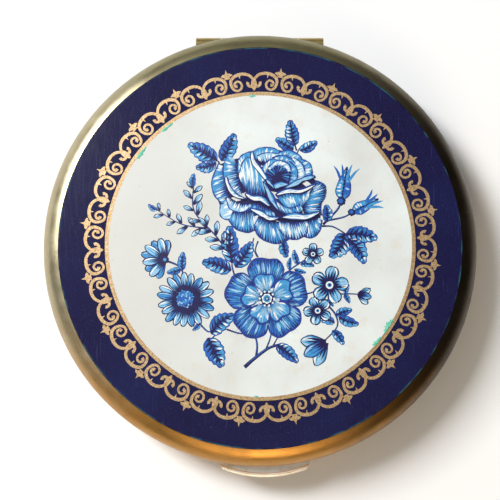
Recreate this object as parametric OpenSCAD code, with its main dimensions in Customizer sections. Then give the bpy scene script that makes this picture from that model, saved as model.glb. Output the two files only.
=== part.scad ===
// Round hinged powder compact: a pressed brass case with a printed lid, a mirror in the lid,
// a sprung inner lid over a well of loose powder, a sifter, a puff and a spring catch.
// +Z is up, -Y is the front with the thumb lip, and the origin is the centre of the underside.

/* [Case] */
// Outer radius of the closed case
case_r = 41; // [40.5:0.1:42]
// Height of the base, from the underside to the seam
base_h = 6.8; // [6.7:0.05:7]
// Height of the straight part of the lid's side, above the seam
lid_side_h = 1.9; // [1.7:0.1:2.1]
// Radius of the rounded edge of the base and the lid
edge_r = 4.4; // [4.2:0.1:4.6]
// Thickness of the pressed brass
wall = 0.7; // [0.6:0.05:0.8]
// Gap between the base and the lid at the seam
seam_gap = 0.06; // [0.04:0.01:0.1]

/* [Lid panel] */
// Radius of the printed panel in the lid
panel_r = 37.55; // [37.3:0.05:37.6]
// Rise of the panel from its edge to its middle
panel_crown = 1.6; // [1.2:0.1:2]
// Thickness of the panel's sheet
panel_t = 0.6; // [0.5:0.05:0.7]
// Radius of the raised centre disc
medallion_r = 28.2; // [27:0.1:29]
// Thickness of the raised centre disc
medallion_t = 0.12; // [0.1:0.01:0.15]

/* [Mirror] */
// Radius of the mirror
mirror_r = 35; // [34.5:0.1:35]
// Thickness of the mirror glass
mirror_t = 1.05; // [0.9:0.05:1.1]
// Radius of the part of the mirror that shows inside its bezel
mirror_view_r = 33.6; // [33:0.1:34]

/* [Powder well] */
// Inside radius of the powder well
well_r = 30.6; // [30.4:0.1:30.8]
// Thickness of the tray's sheet
tray_t = 0.5; // [0.4:0.05:0.5]
// Depth of the loose powder
powder_h = 1.7; // [1:0.1:1.7]

/* [Puff] */
// Radius of the powder puff
puff_r = 27.3; // [26:0.1:27.4]
// Thickness of the powder puff
puff_t = 2.9; // [2.4:0.1:2.9]
// Width of the ribbon across the puff
ribbon_w = 10; // [8:0.5:14]

/* [Inner lid] */
// Outer radius of the inner lid
inner_r = 35; // [34.6:0.1:35]
// Distance of the inner hinge's axis behind the centre
inner_axis_y = 36.3; // [36.2:0.05:36.4]
// Radius of the inner hinge's knuckles
inner_knuckle_r = 0.75; // [0.7:0.01:0.75]
// Radius of the inner hinge's pin
inner_pin_r = 0.36; // [0.3:0.01:0.38]

/* [Outer hinge] */
// Distance of the lid hinge's axis behind the centre
axis_y = 40; // [39.9:0.05:40.1]
// Radius of the lid hinge's knuckles
knuckle_r = 1.3; // [1.2:0.05:1.3]
// Radius of the lid hinge's pin
pin_r = 0.55; // [0.5:0.05:0.6]
// Length of the lid hinge
hinge_w = 24.8; // [22:0.2:25]
// Number of knuckles in the lid hinge
knuckles = 5; // [3:2:5]

/* [Thumb lip and catch] */
// Distance that the thumb lip stands out of the case
lip_out = 2.1; // [1.2:0.05:2.2]
// Half width of the thumb lip
lip_half_w = 9.1; // [7:0.1:9.5]
// Offset of the thumb lip to the right of the middle
lip_x = 0.8; // [0:0.1:1]
// Width of the catch's spring leaf
catch_w = 5; // [4:0.1:5]
// Thickness of the catch's spring leaf
catch_t = 0.35; // [0.3:0.01:0.4]

/* [Hidden] */
$fn = 128;

fit = 0.05;            // running clearance in the hinges
big = 100;             // longer than the case, for cutting boxes
core_r = case_r - edge_r;
inside_r = case_r - wall;
inner_edge_r = edge_r - wall;

// Heights in the lid
lid_z = base_h + seam_gap;
lid_round_z = base_h + lid_side_h;
rim_top = lid_round_z + sqrt(edge_r * edge_r - pow(panel_r + fit - core_r, 2));
panel_edge_z = rim_top - 0.1;
seat_z = panel_edge_z - panel_t - 0.25;
plate_t = 0.6;         // thickness of the lid's plate under the panel
roof_z = seat_z - plate_t;
panel_sphere_r = (panel_r * panel_r + panel_crown * panel_crown) / (2 * panel_crown);
panel_sphere_z = panel_edge_z + panel_crown - panel_sphere_r;

// Heights of the mirror, from the lid's roof downwards
pad_t = 0.4;
pad_z = roof_z - fit - pad_t;
mirror_z = pad_z - fit - mirror_t;
bezel_t = 0.5;
bezel_z = mirror_z - fit - bezel_t;
bezel_flange_r = core_r + 2;

// Heights in the base
tray_floor_z = wall + 0.1;
powder_z = tray_floor_z + tray_t + fit;
deck_z = base_h - 0.4; // top of the tray's deck
deck_low_z = deck_z - tray_t;
upstand_r = case_r - 1.9;
upstand_z = base_h + 1.4;
sifter_z = powder_z + powder_h + fit;
net_z = sifter_z + 0.82;
net_t = 0.12;
puff_z = net_z + net_t + 0.06;
ribbon_t = 0.25;
ribbon_z = puff_z + puff_t + fit;

// Lid hinge
axis_z = base_h;
knuckle_gap = 0.15;
knuckle_w = (hinge_w - (knuckles - 1) * knuckle_gap) / knuckles;
notch_half_w = hinge_w / 2 + 0.5;
notch_half_h = 2.4;    // half height of the notch in the case round the hinge
leaf_t = 0.5;
leaf_y = axis_y - knuckle_r - 0.2 - leaf_t;
leaf_low = 0.7;        // distance of a leaf's near edge from the axis, along Z
shelf_low = notch_half_h + 0.05;

// Inner hinge
inner_axis_z = deck_z + 0.1 + inner_knuckle_r;
inner_plate_t = 0.5;
inner_plate_z = deck_z + 1.2;
inner_leaf_t = 0.4;
bracket_half_w = 8;
bracket_t = 0.35;
inner_knuckle_w = 2.8;
spring_half_w = 2;
spring_wire_r = 0.16;
spring_turns = 11;
rivet_x = 6.6;
rivet_y = inner_axis_y - 2;
rivet_r = 0.4;

// Catch
catch_y = -(case_r - 1.875);
catch_axis_z = base_h - 2.8;
catch_foot_r = 0.45;
catch_top_z = base_h + 2.1;
nose_r = 0.35;
nose_z = base_h + 1.45;
socket_top_z = catch_axis_z + 0.9;
ridge_y = catch_y - catch_t / 2 - 0.12;

// Half section of a flat-bottomed pan, with its wall's lower corner rounded
module pan_section(r, h, round_r) {
    square([r - round_r, h]);
    translate([0, round_r]) square([r, h - round_r]);
    intersection() {
        translate([r - round_r, round_r]) circle(r = round_r);
        square([r, round_r + 0.1]);
    }
}

// Ring with a rectangular section
module ring(r_in, r_out, z, h) {
    translate([0, 0, z]) difference() {
        cylinder(r = r_out, h = h);
        translate([0, 0, -1]) cylinder(r = r_in, h = h + 2);
    }
}

module disc(r, z, h) {
    translate([0, 0, z]) cylinder(r = r, h = h);
}

// Box centred on X = 0
module block(half_w, y0, y1, z0, z1) {
    translate([-half_w, y0, z0]) cube([2 * half_w, y1 - y0, z1 - z0]);
}

// Cylinder along X
module rod(r, x0, x1, y, z) {
    translate([x0, y, z]) rotate([0, 90, 0]) cylinder(r = r, h = x1 - x0);
}

// Space round the lid hinge that the case leaves open
module hinge_notch(z0, z1) {
    block(notch_half_w, leaf_y - 0.2, case_r + 1, z0, z1);
}

// Left end of knuckle i of the lid hinge
function knuckle_x(i) = -hinge_w / 2 + i * (knuckle_w + knuckle_gap);

// Knuckles of one leaf: first is 0 for the base and 1 for the lid, side is 1 above the axis
module leaf(first, side) {
    shelf_z = axis_z + side * (shelf_low + leaf_t / 2);
    plate_mid = axis_z + side * (leaf_low + shelf_low + leaf_t) / 2;
    plate_h = shelf_low + leaf_t - leaf_low;
    intersection() {
        union() {
            block(hinge_w / 2, leaf_y, leaf_y + leaf_t, plate_mid - plate_h / 2, plate_mid + plate_h / 2);
            block(hinge_w / 2, leaf_y, inside_r, shelf_z - leaf_t / 2, shelf_z + leaf_t / 2);
        }
        cylinder(r = inside_r - 0.2, h = big);
    }
    web_z = axis_z + side * (leaf_low + knuckle_r) / 2;
    web_h = knuckle_r - leaf_low;
    for (i = [first : 2 : knuckles - 1])
        difference() {
            union() {
                rod(knuckle_r, knuckle_x(i), knuckle_x(i) + knuckle_w, axis_y, axis_z);
                translate([knuckle_x(i), leaf_y + leaf_t / 2, web_z - web_h / 2])
                    cube([knuckle_w, axis_y - leaf_y - leaf_t / 2, web_h]);
            }
            rod(pin_r + fit, knuckle_x(i) - 1, knuckle_x(i) + knuckle_w + 1, axis_y, axis_z);
        }
}

module base_shell() {
    color("goldenrod") difference() {
        rotate_extrude() difference() {
            pan_section(case_r, base_h, edge_r);
            translate([0, wall]) pan_section(inside_r, base_h, inner_edge_r);
            translate([core_r - 3.4, -1]) square([0.8, 1.2]); // pressed ring in the underside
        }
        hinge_notch(base_h - notch_half_h, base_h + 1);
    }
}

module powder_tray() {
    outer_r = inside_r - 0.1;
    color("gold") difference() {
        union() {
            disc(well_r + tray_t, tray_floor_z, tray_t);
            ring(well_r, well_r + tray_t, tray_floor_z, deck_z - tray_floor_z);
            ring(well_r, outer_r, deck_low_z, tray_t);
            ring(outer_r - tray_t, outer_r, deck_z - 1.4, 1.4);
            ring(upstand_r - tray_t, upstand_r, deck_low_z, upstand_z - deck_low_z);
        }
        hinge_notch(deck_z - 2, upstand_z + 1);
        block(catch_w / 2 + 0.5, -case_r, -upstand_r + 0.9, deck_z - 2, upstand_z + 1);
        for (side = [-1, 1])
            translate([side * rivet_x, rivet_y, 0]) cylinder(r = rivet_r + fit, h = big);
    }
}

module powder_fill() {
    color("bisque") disc(well_r - 0.2, powder_z, powder_h);
}

module sifter_ring() {
    color("ivory") union() {
        ring(well_r - 1, well_r - 0.2, sifter_z, 1.8);
        ring(well_r - 2.7, well_r - 0.8, sifter_z + 0.4, 0.4);
    }
}

module sifter_net() {
    color("white") disc(well_r - 1.1, net_z, net_t);
}

// Round pad with a bulging edge
module puff_pad() {
    edge = puff_t / 2;
    color("peachpuff") rotate_extrude() union() {
        translate([0, puff_z]) square([puff_r - edge, puff_t]);
        intersection() {
            translate([puff_r - edge, puff_z + edge]) circle(r = edge);
            translate([puff_r - edge - 0.2, puff_z]) square([2 * edge, puff_t]);
        }
    }
}

module puff_ribbon() {
    half_l = puff_r - puff_t / 2 - 1;
    color("mistyrose") translate([-half_l, -ribbon_w / 2, ribbon_z]) cube([2 * half_l, ribbon_w, ribbon_t]);
}

module base_hinge_leaf() {
    color("khaki") leaf(0, -1);
}

module hinge_pin() {
    color("darkkhaki") rod(pin_r, -hinge_w / 2, hinge_w / 2, axis_y, axis_z);
}

// Plate on the tray's deck with the two outer knuckles of the inner hinge
module inner_hinge_bracket() {
    clear_y = inner_axis_y - inner_knuckle_r - 0.12;
    color("khaki") difference() {
        union() {
            block(bracket_half_w, rivet_y - 1, clear_y, deck_z, deck_z + bracket_t);
            for (side = [-1, 1]) {
                x0 = side > 0 ? bracket_half_w - inner_knuckle_w : -bracket_half_w;
                translate([x0, clear_y - 0.2, deck_z])
                    cube([inner_knuckle_w, inner_knuckle_r + 0.32, bracket_t]);
                rod(inner_knuckle_r, x0, x0 + inner_knuckle_w, inner_axis_y, inner_axis_z);
            }
        }
        rod(inner_pin_r + fit, -bracket_half_w - 1, bracket_half_w + 1, inner_axis_y, inner_axis_z);
        for (side = [-1, 1])
            translate([side * rivet_x, rivet_y, 0]) cylinder(r = rivet_r + fit, h = big);
    }
}

module inner_hinge_rivets() {
    head_z = deck_z + bracket_t;
    color("darkgoldenrod") for (side = [-1, 1])
        translate([side * rivet_x, rivet_y, 0]) {
            translate([0, 0, deck_low_z - 0.2]) cylinder(r = rivet_r, h = head_z - deck_low_z + 0.3);
            translate([0, 0, deck_low_z - 0.3]) cylinder(r = 0.7, h = 0.3);
            translate([0, 0, head_z]) cylinder(r1 = 0.7, r2 = 0.45, h = 0.28);
        }
}

module inner_hinge_pin() {
    color("darkkhaki") rod(inner_pin_r, -bracket_half_w, bracket_half_w, inner_axis_y, inner_axis_z);
}

// Close-wound coil round the inner pin, with one leg on the deck and one under the inner lid
module inner_lid_spring() {
    coil_r = inner_knuckle_r - spring_wire_r - 0.02;
    pitch = 2 * spring_half_w / spring_turns;
    leg_l = 2.1;
    leg_r = spring_wire_r * 0.8;
    color("silver") union() {
        translate([-spring_half_w, inner_axis_y, inner_axis_z]) rotate([0, 90, 0]) rotate_extrude() {
            translate([coil_r - 0.06, 0]) square([0.12, 2 * spring_half_w]);
            for (i = [0 : spring_turns - 1])
                translate([coil_r, (i + 0.5) * pitch]) circle(r = spring_wire_r);
        }
        for (side = [-1, 1]) {
            leg_z = side > 0 ? inner_plate_z - inner_leaf_t - leg_r - 0.02
                : deck_z + bracket_t + leg_r + 0.02;
            translate([side * (spring_half_w - 0.3), inner_axis_y - coil_r + leg_r / 2, leg_z])
                rotate([90, 0, 0]) cylinder(r = leg_r, h = leg_l);
        }
    }
}

// Pocket on the inside of the base's front wall that holds the foot of the catch
module catch_bracket() {
    color("khaki") difference() {
        intersection() {
            block(catch_w / 2 + 1.1, -case_r, catch_y + 0.925, catch_axis_z - 0.8, socket_top_z);
            cylinder(r = inside_r - 0.4, h = big);
        }
        rod(catch_foot_r + 0.1, -catch_w / 2 - 0.2, catch_w / 2 + 0.2, catch_y, catch_axis_z);
        block(catch_w / 2 + 0.2, catch_y - 0.38, catch_y + 0.38, catch_axis_z, socket_top_z + 1);
    }
}

module lid_shell() {
    color("goldenrod") difference() {
        rotate_extrude() difference() {
            union() {
                translate([0, lid_z]) square([case_r, lid_round_z - lid_z]);
                intersection() {
                    union() {
                        translate([core_r, lid_round_z]) circle(r = edge_r);
                        translate([0, lid_z]) square([core_r + 0.1, big]);
                    }
                    translate([0, lid_round_z - 0.2]) square([case_r, rim_top - lid_round_z + 0.2]);
                }
            }
            // inside of the lid
            translate([0, lid_z - 1]) square([inside_r, lid_round_z - lid_z + 1]);
            intersection() {
                union() {
                    translate([core_r, lid_round_z]) circle(r = inner_edge_r);
                    translate([0, lid_z]) square([core_r + 0.1, big]);
                }
                translate([0, lid_round_z - 0.1]) square([case_r, roof_z - lid_round_z + 0.1]);
            }
            // seat of the panel
            translate([0, seat_z]) square([panel_r + fit, big]);
        }
        hinge_notch(lid_z - 1, base_h + notch_half_h);
    }
}

// Half section between two spheres that share the panel's centre
module dome_section(r, low, high) {
    intersection() {
        difference() {
            translate([0, panel_sphere_z]) circle(r = panel_sphere_r + high, $fn = 1440);
            translate([0, panel_sphere_z]) circle(r = panel_sphere_r + low, $fn = 1440);
        }
        translate([0, seat_z]) square([r, 2 * panel_crown + 1]);
    }
}

module lid_panel() {
    foot = 0.7;
    color("midnightblue") rotate_extrude() union() {
        dome_section(panel_r, -panel_t, 0);
        translate([panel_r - foot, seat_z]) square([foot, panel_edge_z - seat_z - panel_t / 3]);
    }
}

module centre_medallion() {
    color("ivory") rotate_extrude() dome_section(medallion_r, 0, medallion_t);
}

module mirror_pad() {
    color("saddlebrown") disc(mirror_r - 0.1, pad_z, pad_t);
}

module mirror_glass() {
    color("lightsteelblue") disc(mirror_r, mirror_z, mirror_t);
}

// Pressed ring that holds the mirror: a lip under its edge, a wall round it and a flange
module mirror_bezel() {
    wall_r = mirror_r + 0.1;
    color("gold") union() {
        ring(mirror_view_r, wall_r + bezel_t, bezel_z, bezel_t);
        ring(wall_r, wall_r + bezel_t, bezel_z, roof_z - fit - bezel_z);
        ring(wall_r, bezel_flange_r, roof_z - fit - bezel_t, bezel_t);
    }
}

module lid_hinge_leaf() {
    color("khaki") leaf(1, 1);
}

// Crescent-shaped lip with a rolled edge, soldered to the lid's side
module thumb_lip() {
    crescent_r = 22;
    bead_r = 0.45;
    crescent_y = -(case_r + lip_out - crescent_r);
    lip_z = base_h + 0.6;
    color("linen") difference() {
        intersection() {
            translate([lip_x, crescent_y, lip_z]) rotate_extrude() union() {
                translate([crescent_r - 6, -0.25]) square([6 - bead_r, 0.5]);
                translate([crescent_r - bead_r, 0]) circle(r = bead_r);
            }
            translate([lip_x, -case_r + 4.1, 0]) cylinder(r = lip_half_w, h = big);
        }
        translate([0, 0, -1]) cylinder(r = case_r, h = big);
    }
}

// Strip inside the lid's front wall, with the ridge that the catch's nose holds down
module catch_striker() {
    color("khaki") union() {
        intersection() {
            block(catch_w / 2 + 0.7, -case_r, -inside_r + 0.5, lid_z + 0.15, nose_z + 1.05);
            cylinder(r = inside_r - 0.08, h = big);
        }
        block(catch_w / 2, -inside_r + 0.3, ridge_y, lid_z + 0.45, nose_z - nose_r - 0.15);
    }
}

// Shallow cap over the powder well, with a turned-down skirt and a finger tab
module inner_lid() {
    top_z = inner_plate_z + inner_plate_t;
    color("gold") difference() {
        union() {
            disc(inner_r, inner_plate_z, inner_plate_t);
            ring(inner_r - inner_plate_t, inner_r, deck_z + 0.1, inner_plate_z - deck_z);
            ring(inner_r - 4.6, inner_r - 3.8, top_z - 0.1, 0.25);
            intersection() {
                translate([0, -inner_r, inner_plate_z]) cylinder(r = 2.6, h = inner_plate_t);
                block(3, -inner_r - 1.9, 0, 0, big);
            }
        }
        block(bracket_half_w + 0.8, 30, inner_r + 1, deck_z, inner_plate_z);
    }
}

// Leaf under the back of the inner lid, with the two inner knuckles of the inner hinge
module inner_hinge_leaf() {
    color("khaki") difference() {
        union() {
            block(bracket_half_w - 0.4, rivet_y - 2.6, inner_axis_y - inner_knuckle_r - 0.15,
                inner_plate_z - inner_leaf_t, inner_plate_z);
            for (side = [-1, 1]) {
                x0 = side > 0 ? spring_half_w + 0.2 : -spring_half_w - 0.2 - inner_knuckle_w;
                translate([x0, inner_axis_y - 1.3, inner_plate_z - inner_leaf_t])
                    cube([inner_knuckle_w, 0.75, inner_leaf_t]);
                rod(inner_knuckle_r, x0, x0 + inner_knuckle_w, inner_axis_y, inner_axis_z);
            }
        }
        rod(inner_pin_r + fit, -bracket_half_w, bracket_half_w, inner_axis_y, inner_axis_z);
    }
}

// Spring leaf that stands up behind the lid's front wall, with a rolled foot and a nose
module catch_leaf() {
    color("silver") union() {
        rod(catch_foot_r, -catch_w / 2, catch_w / 2, catch_y, catch_axis_z);
        block(catch_w / 2, catch_y - catch_t / 2, catch_y + catch_t / 2, catch_axis_z, catch_top_z);
        rod(nose_r, -catch_w / 2 + 0.5, catch_w / 2 - 0.5, catch_y - catch_t / 2, nose_z);
    }
}

base_shell();
powder_tray();
powder_fill();
sifter_ring();
sifter_net();
puff_pad();
puff_ribbon();
base_hinge_leaf();
hinge_pin();
inner_hinge_bracket();
inner_hinge_rivets();
inner_hinge_pin();
inner_lid_spring();
catch_bracket();
lid_shell();
lid_panel();
centre_medallion();
mirror_pad();
mirror_glass();
mirror_bezel();
lid_hinge_leaf();
thumb_lip();
catch_striker();
inner_lid();
inner_hinge_leaf();
catch_leaf();
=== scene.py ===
import math
import random

import bpy
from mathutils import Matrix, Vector, noise


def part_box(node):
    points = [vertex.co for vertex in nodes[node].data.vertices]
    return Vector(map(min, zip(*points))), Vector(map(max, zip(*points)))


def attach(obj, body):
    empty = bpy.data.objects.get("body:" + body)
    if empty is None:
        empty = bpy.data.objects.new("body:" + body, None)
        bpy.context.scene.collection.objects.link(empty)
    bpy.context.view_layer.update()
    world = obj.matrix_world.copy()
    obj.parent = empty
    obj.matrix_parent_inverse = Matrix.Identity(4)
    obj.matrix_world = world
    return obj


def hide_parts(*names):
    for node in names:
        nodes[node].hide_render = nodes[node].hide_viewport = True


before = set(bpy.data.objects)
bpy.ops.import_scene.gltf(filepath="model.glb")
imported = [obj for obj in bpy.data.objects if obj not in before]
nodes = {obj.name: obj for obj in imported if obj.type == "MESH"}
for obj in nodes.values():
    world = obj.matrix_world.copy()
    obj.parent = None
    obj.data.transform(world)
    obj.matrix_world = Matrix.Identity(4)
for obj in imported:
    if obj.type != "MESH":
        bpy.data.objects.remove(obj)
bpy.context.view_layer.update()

mm = 0.001


def perMm(size):
    # texture scale for a pattern whose grain is this many millimetres
    return 1 / (size * mm)


def hexLinear(code):
    channels = [int(code[i:i + 2], 16) / 255 for i in (0, 2, 4)]
    linear = [c / 12.92 if c <= 0.04045 else ((c + 0.055) / 1.055) ** 2.4 for c in channels]
    return (*linear, 1.0)


def setSocket(socket, value):
    # a hex code stands for its colour
    socket.default_value = hexLinear(value) if isinstance(value, str) else value


def addNode(tree, kind, inputs, stops=None, feeds=None, output=0, **settings):
    # stops are (place, hex code) or (place, grey)
    node = tree.nodes.new("ShaderNode" + kind)
    for name, value in settings.items():
        setattr(node, name, value)
    for socket, value in inputs.items():
        if isinstance(value, bpy.types.NodeSocket):
            tree.links.new(value, node.inputs[socket])
        else:
            setSocket(node.inputs[socket], value)
    if stops:
        elements = node.color_ramp.elements
        while len(elements) < len(stops):
            elements.new(0.5)
        for element, (position, colour) in zip(elements, stops):
            element.position = position
            element.color = hexLinear(colour) if isinstance(colour, str) else (colour,) * 3 + (1,)
    if feeds:
        tree.links.new(node.outputs[output], feeds)
    return node


def stainOver(tree, under, source, stops, tone, feeds=None):
    # a stain of this tone over the colour under it, as strong as the stops make the source
    mask = addNode(tree, "ValToRGB", {0: source}, stops=stops)
    return addNode(tree, "Mix", {0: mask.outputs[0], 6: under, 7: tone}, data_type="RGBA", output=2,
                   feeds=feeds).outputs[2]


def startMaterial(name, roughness, metallic=0.0, **sockets):
    mat = bpy.data.materials.new(name)
    mat.use_nodes = True
    tree = mat.node_tree
    shader = tree.nodes["Principled BSDF"]
    for socket, value in {"Roughness": roughness, "Metallic": metallic, **sockets}.items():
        setSocket(shader.inputs[socket.replace("_", " ")], value)
    coords = tree.nodes.new("ShaderNodeTexCoord").outputs["Object"]
    return mat, tree, shader, coords


def polarCoords(tree, coords):
    # angle round the case's axis, distance from it, and height
    split = addNode(tree, "SeparateXYZ", {0: coords})
    angle = addNode(tree, "Math", {0: split.outputs["Y"], 1: split.outputs["X"]}, operation="ARCTAN2")
    flat = addNode(tree, "CombineXYZ", {"X": split.outputs["X"], "Y": split.outputs["Y"]})
    radius = addNode(tree, "VectorMath", {0: flat.outputs[0]}, operation="LENGTH").outputs["Value"]
    return angle.outputs[0], radius, split.outputs["Z"]


def newPiece(name, verts, faces, materials, body, faceMaterials=None):
    mesh = bpy.data.meshes.new(name)
    mesh.from_pydata(verts, [], faces)
    for mat in materials:
        mesh.materials.append(mat)
    if faceMaterials:
        mesh.polygons.foreach_set("material_index", faceMaterials)
    mesh.polygons.foreach_set("use_smooth", [True] * len(mesh.polygons))
    mesh.update()
    obj = bpy.data.objects.new(name, mesh)
    bpy.context.scene.collection.objects.link(obj)
    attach(obj, body)
    return obj


def ringFaces(rows, sides, start=0, closed=False, flip=False):
    # quads between rows of points that each run once round a shape
    faces = []
    for row in range(rows if closed else rows - 1):
        a, b = start + row * sides, start + (row + 1) % rows * sides
        for k in range(sides):
            after = (k + 1) % sides
            if flip:
                faces.append((a + k, b + k, b + after, a + after))
            else:
                faces.append((a + k, a + after, b + after, b + k))
    return faces


def latheMesh(profile, segments):
    # closed surface of revolution round Z, from (radius, height) points in millimetres
    verts = []
    for r, z in profile:
        for k in range(segments):
            a = 2 * math.pi * k / segments
            verts.append((r * math.cos(a) * mm, r * math.sin(a) * mm, z * mm))
    return verts, ringFaces(len(profile), segments)


def boxMm(name):
    low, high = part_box(name)
    return [v / mm for v in low], [v / mm for v in high]


panelHigh = boxMm("lid_panel")[1]
medallionHigh = boxMm("centre_medallion")[1]
panelR, panelTop, medallionR = panelHigh[0], panelHigh[2], medallionHigh[0]
panelEdge = max(v.co.z / mm for v in nodes["lid_panel"].data.vertices
                if math.hypot(v.co.x, v.co.y) / mm > panelR - 0.05)
crown = panelTop - panelEdge
domeR = (panelR ** 2 + crown ** 2) / (2 * crown)
domeZ = panelTop - domeR
medallionLift = medallionHigh[2] - panelTop


def onDome(x, y, lift):
    return (x * mm, y * mm, (domeZ + math.sqrt((domeR + lift) ** 2 - x * x - y * y)) * mm)


print("case measured: panel radius %.2f mm, crown %.2f mm" % (panelR, crown))

view = {
    "elevation": 83.8,      # degrees above the table
    "distance": 200,        # mm from the lid
    "frameWidth": 95.2,     # mm across the frame at the lid's rim
    "aim": (-1.9, -0.53, 8),  # mm
    "sensor": 36,
}


def placeCamera():
    camData = bpy.data.cameras.new("camera")
    cam = bpy.data.objects.new("camera", camData)
    bpy.context.scene.collection.objects.link(cam)
    tilt = math.radians(view["elevation"])
    aim = Vector(view["aim"]) * mm
    away = Vector((0, -math.cos(tilt), math.sin(tilt)))
    cam.location = aim + away * view["distance"] * mm
    cam.rotation_euler = away.to_track_quat("Z", "Y").to_euler()
    camData.sensor_width = view["sensor"]
    camData.lens = view["sensor"] * view["distance"] / view["frameWidth"]
    camData.clip_start = 0.01
    bpy.context.scene.camera = cam


placeCamera()

studio = {
    "keyPower": 7.5, "keyColour": "fcfdff", "keyPlace": (-0.45, 0.31, 0.58), "keySize": (0.22, 0.34),
    "warmPower": 1.5, "warmColour": "ffe2b4", "warmPlace": (0.0, -0.58, 0.40), "warmSize": (0.3, 0.4),
    "skyLeft": "dde1e4", "skyMiddle": "c4c4c3", "skyRight": "6a6663", "skyStrength": 0.55,
    "floor": "f0f0ef",
}


def areaLight(name, place, target, size, power, colour):
    lamp = bpy.data.lights.new(name, "AREA")
    lamp.shape = "RECTANGLE"
    lamp.size, lamp.size_y = size
    lamp.energy = power
    lamp.color = hexLinear(colour)[:3]
    obj = bpy.data.objects.new(name, lamp)
    bpy.context.scene.collection.objects.link(obj)
    obj.location = place
    obj.rotation_euler = (Vector(place) - Vector(target)).to_track_quat("Z", "Y").to_euler()


def lightStage():
    areaLight("keySoftbox", studio["keyPlace"], (0, 0, 0.01), studio["keySize"], studio["keyPower"],
              studio["keyColour"])
    areaLight("warmStrip", studio["warmPlace"], (0, 0, 0.01), studio["warmSize"], studio["warmPower"],
              studio["warmColour"])
    world = bpy.data.worlds.new("studioWorld")
    bpy.context.scene.world = world
    world.use_nodes = True
    tree = world.node_tree
    background = tree.nodes["Background"]
    direction = tree.nodes.new("ShaderNodeTexCoord").outputs["Generated"]
    split = addNode(tree, "SeparateXYZ", {0: direction})
    across = addNode(tree, "MapRange", {"Value": split.outputs["X"], "From Min": -1, "From Max": 1})
    addNode(tree, "ValToRGB", {0: across.outputs[0]},
            stops=[(0.1, studio["skyLeft"]), (0.5, studio["skyMiddle"]), (0.8, studio["skyRight"])],
            feeds=background.inputs["Color"])
    background.inputs["Strength"].default_value = studio["skyStrength"]

    mat, tree, shader, coords = startMaterial("matteFloorPaper", 0.9)
    mottle = addNode(tree, "TexNoise", {"Vector": coords, "Scale": perMm(40), "Detail": 2})
    addNode(tree, "Mix", {0: mottle.outputs["Fac"], 6: studio["floor"], 7: "f5f5f4"}, data_type="RGBA",
            output=2, feeds=shader.inputs["Base Color"])
    mesh = bpy.data.meshes.new("floor")
    half = 1.5
    mesh.from_pydata([(-half, -half, 0), (half, -half, 0), (half, half, 0), (-half, half, 0)], [],
                     [(0, 1, 2, 3)])
    mesh.materials.append(mat)
    floor = bpy.data.objects.new("floor", mesh)
    bpy.context.scene.collection.objects.link(floor)
    bpy.context.scene.view_settings.view_transform = "Standard"


lightStage()
print("camera, lights and floor placed")


def spunBrass(name, tones, roughness, tarnish, lineStrength, paintedSideTones=None):
    # pressed brass finished on a lathe under thin lacquer: fine turned lines, dull patches, brown spots;
    # the three side tones are painted light: painted shade on the right side, a painted warm reflection
    # at the front and a painted dim reflection on the hinge side
    mat, tree, shader, coords = startMaterial(name, roughness, 1.0)
    angle, radius, height = polarCoords(tree, coords)
    along = addNode(tree, "Math", {0: angle, 1: 0.004}, operation="MULTIPLY")
    turned = addNode(tree, "CombineXYZ", {"X": along.outputs[0], "Y": radius, "Z": height})
    lines = addNode(tree, "TexNoise", {"Vector": turned.outputs[0], "Scale": perMm(0.22), "Detail": 3})
    patches = addNode(tree, "TexNoise", {"Vector": coords, "Scale": perMm(9), "Detail": 4,
                                         "Roughness": 0.65})
    body = addNode(tree, "ValToRGB", {0: patches.outputs["Fac"]},
                   stops=[(0.3, tones[0]), (0.5, tones[1]), (0.7, tones[2])])
    spots = addNode(tree, "TexNoise", {"Vector": coords, "Scale": perMm(1.1), "Detail": 5,
                                       "Roughness": 0.7})
    clean = body.outputs[0]
    # painted light: shade painted on the right side, a warm reflection painted at the front and a dim
    # reflection painted at the hinge side, each mixed into the brass colour
    if paintedSideTones:
        split = addNode(tree, "SeparateXYZ", {0: coords})
        spread = addNode(tree, "MapRange", {"Value": patches.outputs["Fac"], "From Min": 0.3,
                                            "From Max": 0.7, "To Min": -3 * mm, "To Max": 3 * mm})
        for axis, low, high, most, tone in (("Y", 22, 41, 0.92, paintedSideTones[2]),
                                            ("Y", -10, -31, 0.94, paintedSideTones[1]),
                                            ("X", 8, 36, 0.92, paintedSideTones[0])):
            where = addNode(tree, "Math", {0: split.outputs[axis], 1: spread.outputs[0]}, operation="ADD")
            paintedLightMask = addNode(tree, "MapRange", {"Value": where.outputs[0], "From Min": low * mm,
                                              "From Max": high * mm, "To Max": most},
                           interpolation_type="SMOOTHSTEP")
            clean = addNode(tree, "Mix", {0: paintedLightMask.outputs[0], 6: clean, 7: tone},
                            data_type="RGBA").outputs[2]
    colour = stainOver(tree, clean, spots.outputs["Fac"], [(0.60, 0), (0.72, tarnish)], "6a5233")
    lineTone = addNode(tree, "MapRange", {"Value": lines.outputs["Fac"], "From Min": 0.3, "From Max": 0.7,
                                          "To Min": 0.88, "To Max": 1.06})
    lineGrey = addNode(tree, "CombineXYZ", {0: lineTone.outputs[0], 1: lineTone.outputs[0],
                                            2: lineTone.outputs[0]})
    addNode(tree, "Mix", {0: 1.0, 6: colour, 7: lineGrey.outputs[0]}, data_type="RGBA",
            blend_type="MULTIPLY", output=2, feeds=shader.inputs["Base Color"])
    addNode(tree, "MapRange", {"Value": patches.outputs["Fac"], "From Min": 0.3, "From Max": 0.7,
                               "To Min": roughness * 0.8, "To Max": roughness * 1.35},
            feeds=shader.inputs["Roughness"])
    addNode(tree, "Bump", {"Height": lines.outputs["Fac"], "Strength": lineStrength,
                           "Distance": 0.02 * mm}, feeds=shader.inputs["Normal"])
    return mat


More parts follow.
